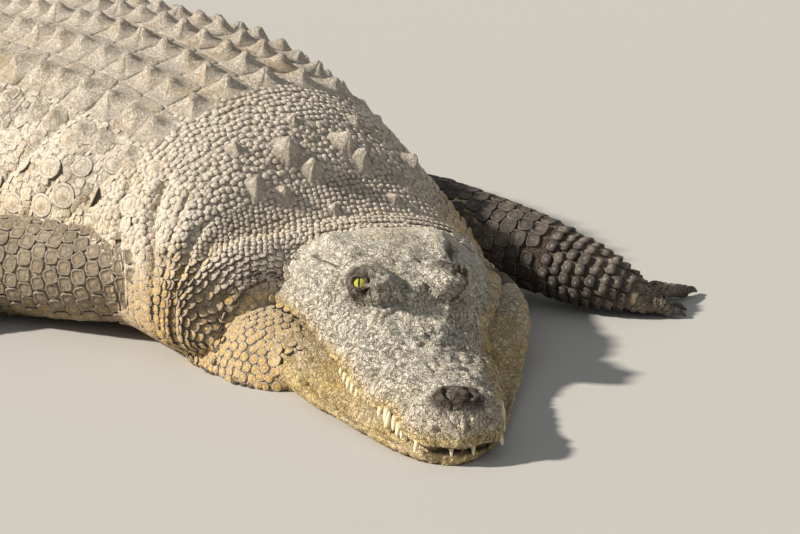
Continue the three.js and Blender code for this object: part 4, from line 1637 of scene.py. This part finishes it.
@dataclass
class Shields:
    """The shields of neck and back."""

    body: Body
    sides: int = 24
    paler: float = 0.35  # how much of the hide's dark marks they take
    rows: Trio = (850, 1820, 60.5)
    columns: tuple[float, ...] = (0.12, 0.34, 0.57)  # share of the body's half width
    nuchal: tuple[tuple[float, float, float, float], ...] = (  # station, side, size, rise
        (685, -72, 44, 30), (680, 44, 42, 28), (650, -47, 36, 24), (655, 55, 36, 24), (665, 169, 34, 20),
        (650, -156, 34, 20), (625, -115, 28, 18), (585, -43, 20, 12), (595, 75, 20, 12), (622, 118, 26, 14),
        (722, -150, 24, 14), (730, 110, 26, 14), (735, -20, 20, 9),
    )

    def __post_init__(self) -> None:
        """Lists every shield."""
        self.list = self.plan()

    def plan(self) -> list[Shield]:
        """Places the shields from the neck to the hips."""
        found = [Shield(a, y, (size * 0.66, size * 0.62), rise, 2.6, 0.25, k)
                 for k, (a, y, size, rise) in enumerate(self.nuchal)]
        random = np.random.default_rng(12)
        start, end, pitch = self.rows
        for row, station in enumerate(np.arange(start, end + 1, pitch)):
            half, shift, _, _ = self.body.sections.read(station)
            for share in self.columns:
                for way in (-1, 1):
                    width = 0.118 * half * (1 if share < 0.5 else 0.94)
                    rise = 28 * (1 - 0.35 * share) * random.uniform(0.85, 1.08)
                    where = station + random.normal(0, 2.5)
                    found.append(Shield(where, shift + way * share * half, (pitch * 0.51, width), rise,
                                        6.0, 0.3, 100 + len(found)))
            for way in (-1, 1):
                offset = pitch / 2 * (row % 2)
                found.append(Shield(station + offset * 0.4, shift + way * 0.75 * half, (24, 19), 13, 2.8,
                                    0.2, 100 + len(found)))
        return found

    def draped(self, shield: Shield) -> tuple[Array, Array]:
        """The rings of one shield and how high each point stands on it.

        Args:
            shield: the shield to make.

        Returns:
            Rings of points in metres, outside first, and a share from 0 to 1 for each.
        """
        x, y = squared(circle(self.sides) + np.pi / self.sides, shield.power)
        radius = np.array([1.02, 1.02, 0.93, 0.8, 0.62, 0.42, 0.24, 0.1])
        depth = np.array([-4.0, 0.3, 1.9, 2.4, 2.6, 2.8, 3.0, 3.0])
        middle = 1 - radius[:, None]
        u = radius[:, None] * x + middle * shield.lean
        v = radius[:, None] * y
        back = u - shield.lean
        fall = np.where(back > 0, back / (1.0 - shield.lean), -back / (1.0 + shield.lean))
        ridge = np.maximum(0, 1 - np.abs(fall)) ** 1.5
        slope = np.maximum(0, 1 - np.abs(v) / 0.95) ** 1.7
        spread = np.hypot(fall * 1.15, v * 1.25)
        tent = shield.rise * (0.45 * ridge * slope + 0.55 * np.maximum(0, 1 - spread) ** 1.8)
        angle = np.arctan2(v, u - shield.lean)
        away = (ramp(radius, 1.0, 0.8) * ramp(radius, 0.0, 0.4))[:, None]
        crumple = 1.3 * np.sin(angle * 8 + shield.seed + 2 * np.sin(angle * 3 + shield.seed)) * away
        station = shield.station + u * shield.half[0]
        side = shield.side + v * shield.half[1]
        turn_at = self.body.angle_at(station, side)
        local = self.body.surface(station, turn_at)
        normal = self.body.normal(station, turn_at)
        lift = depth[:, None] + tent + crumple
        grain = rough(local, 12.0, 2, 5) * 1.5 * ramp(radius, 1.0, 0.9)[:, None]
        local = local + normal * (lift + grain)[..., None]
        # the share by height gives painted shade at the shield's foot and a painted highlight, partly dust,
        # on its peak
        return SPINE.place(*np.moveaxis(local, -1, 0)), np.clip(0.45 + tent / 26, 0, 1)

    def build(self, finish: Material) -> Item:
        """Makes all shields as one piece."""
        grids, rises = [], []
        for shield in self.list:
            grid, rise = self.draped(shield)
            grids.append(grid)
            rises.append(np.concatenate([rise.ravel(), [0, rise[-1].mean()]]))
        item = merged("back_shields", grids, rises)
        points, _ = mesh_arrays(item.data)
        for key, values in paint(points).items():
            put_values(item.data, key, values * (self.paler if key == "dark" else 1.0))
        put_values(item.data, "crack", np.full(len(points), 0.5))
        write_map(item.data, back_places(self.body, points)[corners(item.data)])
        item.data.materials.append(finish)
        return item


@dataclass
class Coat:
    """All the small scales of body and legs."""

    skin: Skin
    shields: Shields
    clear: float = 0.86  # how much of a shield's half size stays clear of scales

    def __post_init__(self) -> None:
        """Finds the places of the shields that the scales stand between."""
        body, shields = self.skin.body, self.shields.list
        station, side = (np.array([getattr(s, name) for s in shields]) for name in ("station", "side"))
        height = body.surface(station, body.angle_at(station, side))[:, 2]
        self.blockers = SPINE.place(station, side, height)
        self.sizes = np.array([self.clear * min(s.half) for s in shields]) * MM

    def neck(self) -> list[Roots]:
        """Round granules between and before the neck shields."""
        body = self.skin.body
        near = Rows((505, 640), 9.6, 10.0, (8, 172), 3.4, Shape.GRANULE, 0.12, 0.56)
        top = Rows((640, 850), 12.0, 12.0, (8, 172), 3.4, Shape.GRANULE, 0.2, 0.56)
        side = Rows((430, 800), 16.5, 14.5, (-52, 40), 3.0, Shape.PLATE, 0.08, 0.56)
        other = Rows((350, 800), 16.0, 15.5, (140, 240), 3.2, Shape.THROAT, 0.06, 0.56, 186)
        found = [clear_of(r.roots(body, k, lambda p: p[:, 2] > 172), self.blockers, self.sizes)
                 for k, r in ((1, near), (4, top))]
        found += [r.roots(body, k, lambda p: p[:, 2] <= 172) for k, r in ((2, side), (3, other))]
        fold = Rows((352, 560), 14.0, 14.0, (42, 142), 3.2, Shape.THROAT, 0.08, 0.56, 100)
        found.append(fold.roots(body, 5, lambda p: (p[:, 1] < -40) & (p[:, 2] < 172)))
        return [*found, self.nape()]

    def nape(self) -> Roots:
        """Granules on the rear of the head, up to the edge of the skull."""
        head = self.skin.head
        points, normals, aheads = [], [], []
        for k, station in enumerate(np.arange(508, 600, 9.4)):
            half = head.half(min(station, HEAD_END))[: head.columns[0]]
            arc = travelled(half)
            spots = np.arange(4.0 + 5.0 * (k % 2), arc[-1] - 6, 10.0)
            side, height = np.interp(spots, arc, half[:, 0]), np.interp(spots, arc, half[:, 1])
            tangent = np.gradient(columns(side, height), axis=0)
            use = station > 536 - 20 * ramp(side, 60, 150)
            for way in (-1, 1):
                local = columns(np.full(len(side), station), way * side, height)[use]
                out = columns(np.zeros(len(side)), way * -tangent[:, 1], tangent[:, 0])[use]
                at = head.place(local)
                points.append(at)
                normals.append(unit(head.place(local + unit(out)) - at))
                aheads.append(unit(head.place(local + [2.0, 0, 0]) - at))
        point = np.vstack(points)
        size = np.tile([5.6, 5.4, 3.4], (len(point), 1))
        return Roots(point, np.vstack(normals), np.vstack(aheads), size, np.zeros(len(point), int))

    def flank(self) -> list[Roots]:
        """Rimmed ovals with granules between them, from shoulder to hip."""
        body = self.skin.body
        found = []
        for k, arc in enumerate(((-30, 48), (132, 210))):
            ovals = Rows((800, 1850), 66, 60, arc, 4.2, Shape.OVAL, 0.14, 0.34)
            large = clear_of(ovals.roots(body, 20 + k, anywhere), self.blockers, self.sizes)
            random = np.random.default_rng(40 + k)
            large.size *= random.uniform(0.66, 1.08, (len(large.size), 1)) * [1.0, 1.12, 1.0]
            small = Rows((700, 1850), 14.0, 11.0, arc, 1.7, Shape.PLATE, 0.2, 0.6)
            small = small.roots(body, 30 + k, anywhere)
            blockers = np.vstack([large.point, self.blockers])
            sizes = np.concatenate([large.size[:, :2].mean(1) * MM, self.sizes])
            found += [large, clear_of(small, blockers, sizes)]
        return found

    def belly(self) -> list[Roots]:
        """Square plates in straight rows under throat, belly and tail."""
        body = self.skin.body
        low = Rows((700, 1850), 30, 30, (214, 326), 1.4, Shape.PLATE, 0.02, 0.495)
        return [low.roots(body, 60, lambda p: p[:, 2] < 8)]

    def tail(self) -> list[Roots]:
        """Whorls of rectangular scales round the tail."""
        body = self.skin.body
        found = []
        for k, (span, pitch) in enumerate((((1850, 2800), 50.0), ((2800, 3560), 42.0))):
            rows = Rows(span, pitch, 26 - 4 * k, (-60, 240), 3.6, Shape.KEELED, 0.03, 0.5)
            found.append(rows.roots(body, 70 + k, lambda p: p[:, 2] > 20))
        return found

    def limbs(self) -> list[Roots]:
        """Bands of scales round every leg, smaller towards the toes."""
        found = []
        for limb in self.skin.limbs:
            for k, tube in enumerate(limb.tubes()):
                length = tube.length()
                pitch, width = ((25, 27), (18, 22), (11, 13))[k] if k < 3 else (9, 13)
                if "leg" in limb.name:
                    pitch, width = pitch * 1.15, width * 1.15
                random = np.random.default_rng(200 + k)
                for row, along in enumerate(np.arange(pitch / 2, length, pitch)):
                    _, across, up, ahead, wide, high = tube.frame(np.array(along))
                    round_about = np.pi * (wide + high)
                    count = max(6, round(float(round_about) / width))
                    turn = (np.arange(count) + 0.5 * (row % 2)) / count * 2 * np.pi
                    turn = turn + random.normal(0, 0.08 / count * 6, count)
                    point, normal = tube.point(np.full(count, along), turn)
                    spin = random.normal(0, 0.16, (count, 1))
                    step = ahead * np.cos(spin) + np.cross(normal, ahead) * np.sin(spin)
                    size = np.tile([width * 0.53, pitch * 0.57, 5.5 if k < 2 else 2.6], (count, 1))
                    size = size * random.uniform(0.86, 1.04, (count, 1))
                    shape = Shape.RIMMED if k == 0 else Shape.BAND
                    kind = np.full(count, list(Shape).index(shape))
                    found.append(Roots(point * MM, normal, step, size, kind, 1.0))
        whole = Roots(*(np.concatenate([getattr(r, n) for r in found])
                        for n in ("point", "normal", "ahead", "size", "kind")), 1.0)
        return [whole]

    def build(self, tree: ScaleTree, shapes: ScaleShapes, finish: Material) -> list[Item]:
        """Stands every field on the hide.

        Args:
            tree: the node tree to run.
            shapes: the meshes to repeat.
            finish: the scales' material.

        Returns:
            One piece for each region.
        """
        plans = {"neck_scales": (self.neck, 12.0), "flank_scales": (self.flank, 10.0),
                 "belly_scales": (self.belly, 8.0), "tail_scales": (self.tail, 9.0),
                 "limb_scales": (self.limbs, 14.0)}
        pieces = []
        for name, (plan, slack) in plans.items():
            settled = [self.skin.settle(roots, 30.0, slack) for roots in plan()]
            settled = [r for r in settled if len(r.point)]
            pieces.append(tree.run(name, settled, shapes, finish))
            LOG.info("%s: %d scales", name, sum(len(r.point) for r in settled))
        return pieces


@dataclass
class Crests:
    """The upright fins of the tail."""

    body: Body
    twin: Trio = (1892, 2790, 50)
    single: Trio = (2815, 3530, 42)

    def fin(self, station: float, share: float, pitch: float, height: float) -> Array:
        """The rings of one fin, from its buried foot to its tip.

        Args:
            station: the middle of its foot.
            share: its side, as a share of the half width.
            pitch: its length.
            height: how far it stands out.

        Returns:
            Rings of points in metres.
        """
        half, shift, _, _ = self.body.sections.read(station)
        turn = circle(14)
        where = np.array(station)
        angle = self.body.angle_at(where, shift + share * half)
        local, normal = self.body.surface(where, angle), self.body.normal(where, angle)
        upright = unit(normal + np.array([0.0, 0.0, 0.6]))
        rings = []
        for t in (0.0, 0.12, 0.3, 0.5, 0.7, 0.86, 0.97):
            shrink = (1 - t) ** 0.62
            long = pitch * 0.52 * shrink
            thick = 8.5 * (1 - t) ** 0.8 + 1.2
            lift = -6 + (height + 6) * t
            trail = pitch * 0.55 * t**1.3
            ring = local + upright * lift + np.stack(
                [np.cos(turn) * long + trail, np.sin(turn) * thick, 0 * turn], axis=1)
            rings.append(ring)
        return SPINE.place(*np.moveaxis(np.array(rings), -1, 0))

    def build(self, finish: Material) -> Item:
        """Makes all fins as one piece."""
        fins = []
        start, end, pitch = self.twin
        for station in np.arange(start, end + 1, pitch):
            t = (station - start) / (end - start)
            fins += [self.fin(station, way * (0.5 - 0.24 * t), pitch, 34 * (0.6 + 0.5 * t))
                     for way in (-1, 1)]
        start, end, pitch = self.single
        for station in np.arange(start, end + 1, pitch):
            t = (station - start) / (end - start)
            fins.append(self.fin(station, 0.0, pitch, 52 * (1 - 0.55 * t)))
        # the rings' order is stored as rise: painted shade at each fin's foot, a painted highlight, partly
        # dust, at its tip
        item = merged("tail_crests", fins)
        points, _ = mesh_arrays(item.data)
        for key, values in paint(points).items():
            put_values(item.data, key, values)
        write_map(item.data, back_places(self.body, points)[corners(item.data)])
        item.data.materials.append(finish)
        return item


# ---- eyes, teeth and claws
@dataclass
class Eyes:
    """Two glossy eyeballs with upright slit pupils."""

    head: Head

    def build(self, way: int, finish: Material) -> Item:
        """Makes one eyeball, facing the way it looks.

        Args:
            way: 1 for the left eye and -1 for the right.
            finish: its material.

        Returns:
            The piece, with its gaze stored for each point.
        """
        centre, axes = self.head.eye_frame(way)
        turn = circle(64)
        polar = np.pi * np.linspace(0.02, 0.98, 44)
        flat = np.stack([np.sin(polar)[:, None] * np.cos(turn), np.sin(polar)[:, None] * np.sin(turn),
                         np.cos(polar)[:, None] + 0 * turn], axis=2)
        radius = self.head.eye.radius * (1 + 0.045 * bell(polar, 0.5))[:, None, None]
        grid = centre + (flat * radius) @ axes * MM
        name = f"eye_{'left' if way > 0 else 'right'}_ball"
        item = closed_shell(name, grid, centre + axes[2] * radius[0, 0, 0] * MM,
                            centre - axes[2] * radius[-1, 0, 0] * MM)
        gaze = np.vstack([flat.reshape(-1, 3), [0, 0, 1], [0, 0, -1]])
        put_values(item.data, "gaze", gaze)
        item.data.materials.append(finish)
        return item


@dataclass
class Teeth:
    """The teeth that show with the mouth shut."""

    head: Head
    upper: tuple[Trio, ...] = (  # station, length and radius at the gum
        (20, 14, 5.4), (54, 11, 5.6), (67, 15, 6.4), (82, 16, 6.6), (108, 15, 6.4), (123, 11, 5.6),
        (194, 9, 5.6), (211, 12, 6.2), (228, 12, 6.2), (245, 10, 5.8), (262, 8, 5.2),
    )
    front: tuple[float, float, float, float] = (4, 16, 15, 4)  # station, side, length and radius
    fang: Trio = (95, 21, 6.0)
    sides: int = 12

    def tooth(self, station: float, way: int, length: float, radius: float, rising: bool = False) -> Array:
        """The rings of one tooth along its curved axis.

        Args:
            station: its place along the jaw.
            way: 1 on the left and -1 on the right.
            length: how far it shows.
            radius: its radius at the gum.
            rising: whether it stands up from the lower jaw.

        Returns:
            Rings of points in metres.
        """
        lip_y, lip_z = self.head.upper.read(station)[3:5]
        turn = circle(self.sides)
        rings = []
        for t in (0.0, 0.2, 0.42, 0.62, 0.8, 0.93, 0.985):
            shown = length * (t * 1.25 - 0.25)
            height = lip_z + (shown - 14 if rising else 1 - shown)
            side = lip_y + (3.5 - 2.0 * t if rising else -3.5 + 4.5 * t)
            r = radius * (1 - t**2.4) ** 0.7
            ring = columns(station - 3 * t + np.cos(turn) * r, way * (side + np.sin(turn) * r * 0.85),
                             height + 0 * turn)
            rings.append(ring)
        return self.head.place(np.array(rings))

    def build(self, finish: Material) -> Item:
        """Makes all the teeth as one piece."""
        grids = [self.tooth(a, way, length, radius) for a, length, radius in self.upper for way in (1, -1)]
        a, side, length, radius = self.front
        station, length_low, radius_low = self.fang
        grids += [self.tooth(station, way, length_low, radius_low, True) for way in (1, -1)]
        turn = circle(self.sides)
        for way in (1, -1):
            rings = []
            for t in (0.0, 0.25, 0.5, 0.75, 0.93, 0.985):
                r = radius * (1 - t**1.7) ** 0.7
                rings.append(columns(a - 3 - 5 * t + np.cos(turn) * r, way * side + np.sin(turn) * r,
                                       30 - length * t + 0 * turn))
            grids.append(self.head.place(np.array(rings)))
        item = merged("teeth", grids)
        item.data.materials.append(finish)
        return item


@dataclass
class Claws:
    """The claws of the inner three toes of each foot."""

    limbs: tuple[Limb, ...]

    def build(self, finish: Material) -> list[tuple[Item, str]]:
        """Makes one claw for each clawed toe, with the node that it stands for."""
        found = []
        for limb in self.limbs:
            kind, side = limb.name.split("_")
            foot = "hand" if kind == "arm" else "foot"
            for k in range(limb.clawed):
                node = f"{foot}_claw_{side}_{k + 1}"
                item = Tube(limb.toe(k)[1]).shell(f"{node}_horn", 16, 0.0, 3.0)
                item.data.materials.append(finish)
                found.append((item, node))
        return found


# ---- finishes
def linear(red: float, green: float, blue: float) -> tuple[float, float, float, float]:
    """A colour given in screen values from 0 to 255, as the shader wants it."""
    value = [((c / 255 + 0.055) / 1.055) ** 2.4 if c > 10 else c / 255 / 12.92 for c in (red, green, blue)]
    return (*value, 1.0)


@dataclass
class Graph:
    """Short ways to add and link nodes."""

    tree: bpy.types.NodeTree

    @classmethod
    def of(cls, name: str) -> tuple[Material, Graph]:
        """A new material and its empty graph."""
        made = bpy.data.materials.new(name)
        made.use_nodes = True
        made.node_tree.nodes.clear()
        return made, cls(made.node_tree)

    def noise(self, place: Socket, scale: float, detail: float, roughness: float = 0.5) -> Socket:
        """Smooth noise from 0 to 1."""
        inputs = {"Vector": place, "Scale": scale, "Detail": detail, "Roughness": roughness}
        return self.add("ShaderNodeTexNoise", {}, inputs).outputs["Fac"]

    def surface(self, inputs: dict) -> None:
        """Ends a material in a shader with the given inputs."""
        shader, out = self.add("ShaderNodeBsdfPrincipled", {}, inputs), self.add("ShaderNodeOutputMaterial")
        self.tree.links.new(shader.outputs[0], out.inputs[0])

    def add(self, kind: str, settings: dict | None = None, inputs: dict | None = None) -> bpy.types.Node:
        """Adds a node, sets its properties and sets or links its inputs.

        Args:
            kind: the node's type.
            settings: properties by name.
            inputs: values or sockets by input name or number.

        Returns:
            The node.
        """
        node = self.tree.nodes.new(kind)
        for key, value in (settings or {}).items():
            setattr(node, key, value)
        for key, value in (inputs or {}).items():
            if isinstance(value, Socket):
                self.tree.links.new(value, node.inputs[key])
            else:
                node.inputs[key].default_value = value
        return node

    def stored(self, name: str, output: str = "Fac") -> Socket:
        """A stored value of the piece."""
        return self.add("ShaderNodeAttribute", {"attribute_name": name}).outputs[output]

    def math(self, operation: str, a: object, b: object = 0.0, clamp: bool = False) -> Socket:
        """One step of arithmetic."""
        settings = {"operation": operation, "use_clamp": clamp}
        return self.add("ShaderNodeMath", settings, {0: a, 1: b}).outputs[0]

    def blend(self, share: object, a: object, b: object, mode: str = "MIX") -> Socket:
        """Mixes two colours."""
        node = self.add("ShaderNodeMix", {"data_type": "RGBA", "blend_type": mode}, {0: share, 6: a, 7: b})
        return node.outputs[2]

    def ramp(self, value: Socket, low: float, high: float | Socket,
             out_low: float = 0.0, out_high: float = 1.0) -> Socket:
        """Turns a range of values into another one."""
        inputs = {"Value": value, "From Min": low, "From Max": high, "To Min": out_low, "To Max": out_high}
        return self.add("ShaderNodeMapRange", {"interpolation_type": "SMOOTHSTEP"}, inputs).outputs[0]


def cracks_group() -> bpy.types.NodeTree:
    """Builds the shared group of fine cracks: sizes in, a curly and a netted mask out."""
    tree = bpy.data.node_groups.new("fine_cracks", "ShaderNodeTree")
    for name, default in (("Curls", 90.0), ("Cells", 120.0), ("Width", 0.1)):
        tree.interface.new_socket(name, in_out="INPUT", socket_type="NodeSocketFloat").default_value = default
    for name in ("Curl", "Net"):
        tree.interface.new_socket(name, in_out="OUTPUT", socket_type="NodeSocketFloat")
    g = Graph(tree)
    given, out = g.add("NodeGroupInput"), g.add("NodeGroupOutput")
    place = g.add("ShaderNodeTexCoord").outputs["Object"]
    wave = g.add("ShaderNodeTexNoise", {"noise_dimensions": "3D"},
                 {"Vector": place, "Scale": given.outputs["Curls"], "Detail": 3.0, "Distortion": 1.2})
    line = g.math("ABSOLUTE", g.math("SUBTRACT", wave.outputs["Fac"], 0.5))
    curl = g.ramp(line, 0.004, 0.036, 1.0, 0.0)
    warp = g.add("ShaderNodeTexNoise", {"noise_dimensions": "3D"},
                 {"Vector": place, "Scale": 70.0, "Detail": 2.0}).outputs["Color"]
    pushed = g.add("ShaderNodeVectorMath", {"operation": "MULTIPLY_ADD"},
                   {0: warp, 1: (0.014, 0.014, 0.014), 2: place}).outputs[0]
    tall = g.add("ShaderNodeVectorMath", {"operation": "MULTIPLY"},
                 {0: pushed, 1: (1.0, 1.0, 0.6)}).outputs[0]
    cell = g.add("ShaderNodeTexVoronoi", {"feature": "DISTANCE_TO_EDGE"},
                 {"Vector": tall, "Scale": given.outputs["Cells"]}).outputs["Distance"]
    net = g.ramp(cell, 0.0, given.outputs["Width"], 1.0, 0.0)
    g.tree.links.new(curl, out.inputs["Curl"])
    g.tree.links.new(net, out.inputs["Net"])
    return tree


@dataclass(frozen=True)
class HideFinish:
    """The hide of skin and scales, driven by its stored markings, painted shade and painted highlights."""

    name: str
    dusty: Trio = (236, 221, 200)
    plain: Trio = (204, 184, 156)
    ochre: Trio = (238, 190, 96)
    dark: Trio = (76, 70, 66)
    # colour of the cracks and seams, and also of the painted shade at scale feet and in gaps
    seam: Trio = (62, 50, 40)
    curls: float = 95.0
    cells: float = 100.0
    curl: float = 0.6  # how dark the curly cracks are
    net: float = 0.35
    grainy: float = 0.38  # how dark the fine grain is
    relief: float = 0.0016
    wear_and_highlight: float = 0.3  # how pale the highest rims and peaks are: partly dust and wear, partly a painted highlight
    cored: bool = False  # whether the ochre stays in each scale's middle
    roughness: float = 0.74
    specular: float = 0.35

    def material(self, cracks: bpy.types.NodeTree) -> Material:
        """Builds the material.

        Args:
            cracks: the shared group of fine cracks.

        Returns:
            The material.
        """
        made, g = Graph.of(self.name)
        place = g.add("ShaderNodeTexCoord").outputs["Object"]
        mottle, grain = g.noise(place, 30.0, 6.0, 0.68), g.noise(place, 300.0, 4.0, 0.7)
        uneven = g.ramp(mottle, 0.3, 0.7, -0.28, 0.28)
        dusty, seam = linear(*self.dusty), linear(*self.seam)
        base = g.blend(g.math("ADD", g.stored("dust"), uneven, True), linear(*self.plain), dusty)
        stain = g.math("ADD", g.stored("ochre"), g.math("MULTIPLY", uneven, 0.8), True)
        if self.cored:
            stain = g.math("MULTIPLY", stain, g.math("ADD", 0.12, g.stored("core")), True)
        base = g.blend(stain, base, linear(*self.ochre))
        shade = g.math("ADD", g.stored("dark"), g.math("MULTIPLY", uneven, 0.7), True)
        base = g.blend(shade, base, linear(*self.dark))
        # painted highlight, partly dust and wear: the highest rims and peaks turn pale
        base = g.blend(g.ramp(g.stored("rise"), 0.8, 1.0, 0.0, self.wear_and_highlight), base, dusty)
        parts = g.add("ShaderNodeGroup", {"node_tree": cracks},
                      {"Curls": self.curls, "Cells": self.cells, "Width": 0.1})
        finer = g.add("ShaderNodeGroup", {"node_tree": cracks},
                      {"Curls": self.curls * 2.1, "Cells": self.cells * 2.0, "Width": 0.12})
        head = g.stored("crack")
        curl = g.math("MAXIMUM", parts.outputs["Curl"], g.math("MULTIPLY", finer.outputs["Curl"], 0.6))
        curl = g.math("MULTIPLY", curl, g.math("MULTIPLY", head, self.curl))
        net = g.math("MULTIPLY", g.math("MAXIMUM", parts.outputs["Net"],
                                        g.math("MULTIPLY", finer.outputs["Net"], 0.5)), self.net)
        # painted shade: the low rings of each scale (its foot and the dish of the ovals) and the feet of the
        # tail fins darken
        low = g.ramp(g.stored("rise"), 0.55, 0.0, 0.0, 0.85)
        # cracks and grain are the hide's own dark lines; the low rings and the gaps get painted shade
        for share in (g.math("MAXIMUM", curl, net), g.ramp(grain, 0.62, 0.35, 0.0, self.grainy), low,
                      g.math("MULTIPLY", g.stored("gap"), 0.5)):
            base = g.blend(share, base, seam)
        depth = g.math("ADD", g.math("MULTIPLY", curl, -1.6), g.math("MULTIPLY", net, -1.2))
        height = g.math("ADD", depth, g.math("ADD", g.math("MULTIPLY", grain, 0.8), mottle))
        bump = g.add("ShaderNodeBump", {}, {"Height": height, "Strength": 0.85,
                                            "Distance": self.relief}).outputs[0]
        rough_at = g.ramp(mottle, 0.2, 0.8, self.roughness - 0.08, self.roughness + 0.1)
        g.surface({"Base Color": base, "Roughness": rough_at, "Normal": bump,
                   "Specular IOR Level": self.specular})
        return made


@dataclass(frozen=True)
class EyeFinish:
    """A wet eye: slit pupil, streaked iris and a dark rim."""

    name: str = "eye_wet"
    iris: Trio = (232, 220, 84)
    iris_deep: Trio = (168, 160, 40)
    rim: Trio = (38, 32, 22)

    def material(self) -> Material:
        """Builds the material."""
        made, g = Graph.of(self.name)
        gaze = g.stored("gaze", "Vector")
        parts = g.add("ShaderNodeSeparateXYZ", {}, {0: gaze})
        across = g.math("ABSOLUTE", parts.outputs[0])
        up = parts.outputs[1]
        streaks = g.noise(gaze, 26.0, 4.0)
        iris = g.blend(g.ramp(streaks, 0.35, 0.65), linear(*self.iris_deep), linear(*self.iris))
        reach = g.math("SQRT", g.math("ADD", g.math("MULTIPLY", across, across), g.math("MULTIPLY", up, up)))
        iris = g.blend(g.ramp(reach, 0.62, 0.84), iris, linear(*self.rim))
        width = g.math("SUBTRACT", 0.085, g.math("MULTIPLY", g.math("MULTIPLY", up, up), 0.24))
        slit = g.ramp(g.math("SUBTRACT", width, across), -0.008, 0.012)
        colour = g.blend(slit, iris, (0.002, 0.002, 0.002, 1))
        g.surface({"Base Color": colour, "Roughness": 0.12, "Coat Weight": 1.0, "Coat Roughness": 0.03})
        return made


@dataclass(frozen=True)
class HornFinish:
    """Teeth and claws: stained at the root, pale from wear at the tip."""

    name: str
    root: Trio
    tip: Trio
    roughness: float = 0.35

    def material(self) -> Material:
        """Builds the material."""
        made, g = Graph.of(self.name)
        place = g.add("ShaderNodeTexCoord").outputs["Object"]
        streak = g.noise(place, 240.0, 3.0)
        share = g.math("ADD", g.stored("rise"), g.ramp(streak, 0.3, 0.7, -0.25, 0.25), True)
        colour = g.blend(share, linear(*self.root), linear(*self.tip))
        bump = g.add("ShaderNodeBump", {}, {"Height": streak, "Strength": 0.3, "Distance": 0.0006}).outputs[0]
        rough_at = g.ramp(streak, 0.2, 0.8, self.roughness, self.roughness + 0.2)
        g.surface({"Base Color": colour, "Roughness": rough_at, "Normal": bump})
        return made


# ---- studio
@dataclass(frozen=True)
class Studio:
    """Camera, soft lights and a plain floor."""

    camera: Trio = (3.8717, -2.8091, 1.5333)
    forward: Trio = (-0.70474, 0.63455, -0.31730)
    lens: float = 126.0
    key_direction: Trio = (-0.50, -0.66, 0.56)  # from the model towards the light
    key_power: float = 5.5
    key_angle: float = 3.5  # degrees
    key_colour: Trio = (1.0, 0.965, 0.90)
    fill_power: float = 0.36
    floor_reach: float = 60.0

    @staticmethod
    def placed(data: bpy.types.ID, turn: Quaternion) -> Item:
        """An object in the scene that carries a camera or a light."""
        item = bpy.data.objects.new(data.name, data)
        item.rotation_euler = turn.to_euler()
        bpy.context.scene.collection.objects.link(item)
        return item

    def build(self) -> None:
        """Sets up the camera, the lights and the floor."""
        camera = self.placed(bpy.data.cameras.new("camera"), Vector(self.forward).to_track_quat("-Z", "Y"))
        camera.data.lens = self.lens
        camera.data.sensor_width = 36.0
        camera.location = self.camera
        bpy.context.scene.camera = camera
        turn = Vector(self.key_direction).to_track_quat("Z", "Y")
        key = self.placed(bpy.data.lights.new("key", "SUN"), turn)
        key.data.energy = self.key_power
        key.data.angle = math.radians(self.key_angle)
        key.data.color = self.key_colour
        bpy.context.scene.view_settings.view_transform = "Standard"
        world = bpy.data.worlds.new("studio")
        bpy.context.scene.world = world
        world.use_nodes = True
        back = world.node_tree.nodes["Background"]
        back.inputs[0].default_value = (0.86, 0.92, 1.0, 1.0)
        back.inputs[1].default_value = self.fill_power
        r = self.floor_reach
        floor = new_object("floor", [(-r, -r, 0), (r, -r, 0), (r, r, 0), (-r, r, 0)], [(0, 1, 2, 3)])
        plain = bpy.data.materials.new("pale_floor")
        plain.use_nodes = True
        shader = plain.node_tree.nodes["Principled BSDF"]
        shader.inputs["Base Color"].default_value = linear(186, 181, 172)
        shader.inputs["Roughness"].default_value = 0.9
        floor.data.materials.append(plain)


# ---- the whole
FLESH = ("head_upper", "lower_jaw", "neck", "trunk_front", "trunk_rear", "tail_base", "tail_middle",
         "tail_tip", *(f"{part}_{side}" for part in ("upper_arm", "forearm", "hand", "thigh", "shin", "foot")
                       for side in ("left", "right")))


def finished(item: Item, slot: str, nodes: tuple[str, ...] = ()) -> None:
    """Attaches a finished piece to the root body and hides the nodes that it stands for."""
    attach(item, "root")
    if nodes:
        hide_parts(*nodes)
    item.data.calc_loop_triangles()
    LOG.info("%s: %d triangles", item.name, len(item.data.loop_triangles))


def main() -> None:
    """Builds the crocodile over its frame."""
    logging.basicConfig(level=logging.INFO, format="%(message)s")
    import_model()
    body, head = Body(), Head()
    cracks = cracks_group()
    hide = HideFinish("hide", (255, 244, 224), (250, 232, 204), (253, 217, 138), (84, 70, 58), (72, 56, 40),
                      64.0, 80.0, 0.8, net=0.42, relief=0.005, grainy=0.2).material(cracks)
    shield_hide = HideFinish("shield_hide", curls=60.0, net=0.25, relief=0.003).material(cracks)
    scale_hide = HideFinish("scale_hide", net=0.3, relief=0.0015, cored=True).material(cracks)
    skin = Skin(body, head, LIMBS)
    hull = skin.build()
    hull.data.materials.clear()
    hull.data.materials.append(hide)
    finished(hull, "body_hide", FLESH)
    shields = Shields(body)
    finished(shields.build(shield_hide), "body_hide")
    tree, shapes = ScaleTree(), ScaleShapes()
    for piece in Coat(skin, shields).build(tree, shapes, scale_hide):
        finished(piece, "limb_hide" if "limb" in piece.name else "body_hide")
    shapes.clear()
    finished(Crests(body).build(shield_hide), "body_hide")
    wet = EyeFinish().material()
    for way, node in ((1, "eye_left"), (-1, "eye_right")):
        finished(Eyes(head).build(way, wet), "eye", (node,))
    ivory = HornFinish("ivory", (214, 190, 140), (252, 246, 226), 0.3).material()
    finished(Teeth(head).build(ivory), "head_hide")
    horn = HornFinish("horn", (66, 60, 52), (128, 120, 104), 0.4).material()
    for item, node in Claws(LIMBS).build(horn):
        finished(item, "claw", (node,))
    Studio().build()


if __name__ == "__main__":
    main()
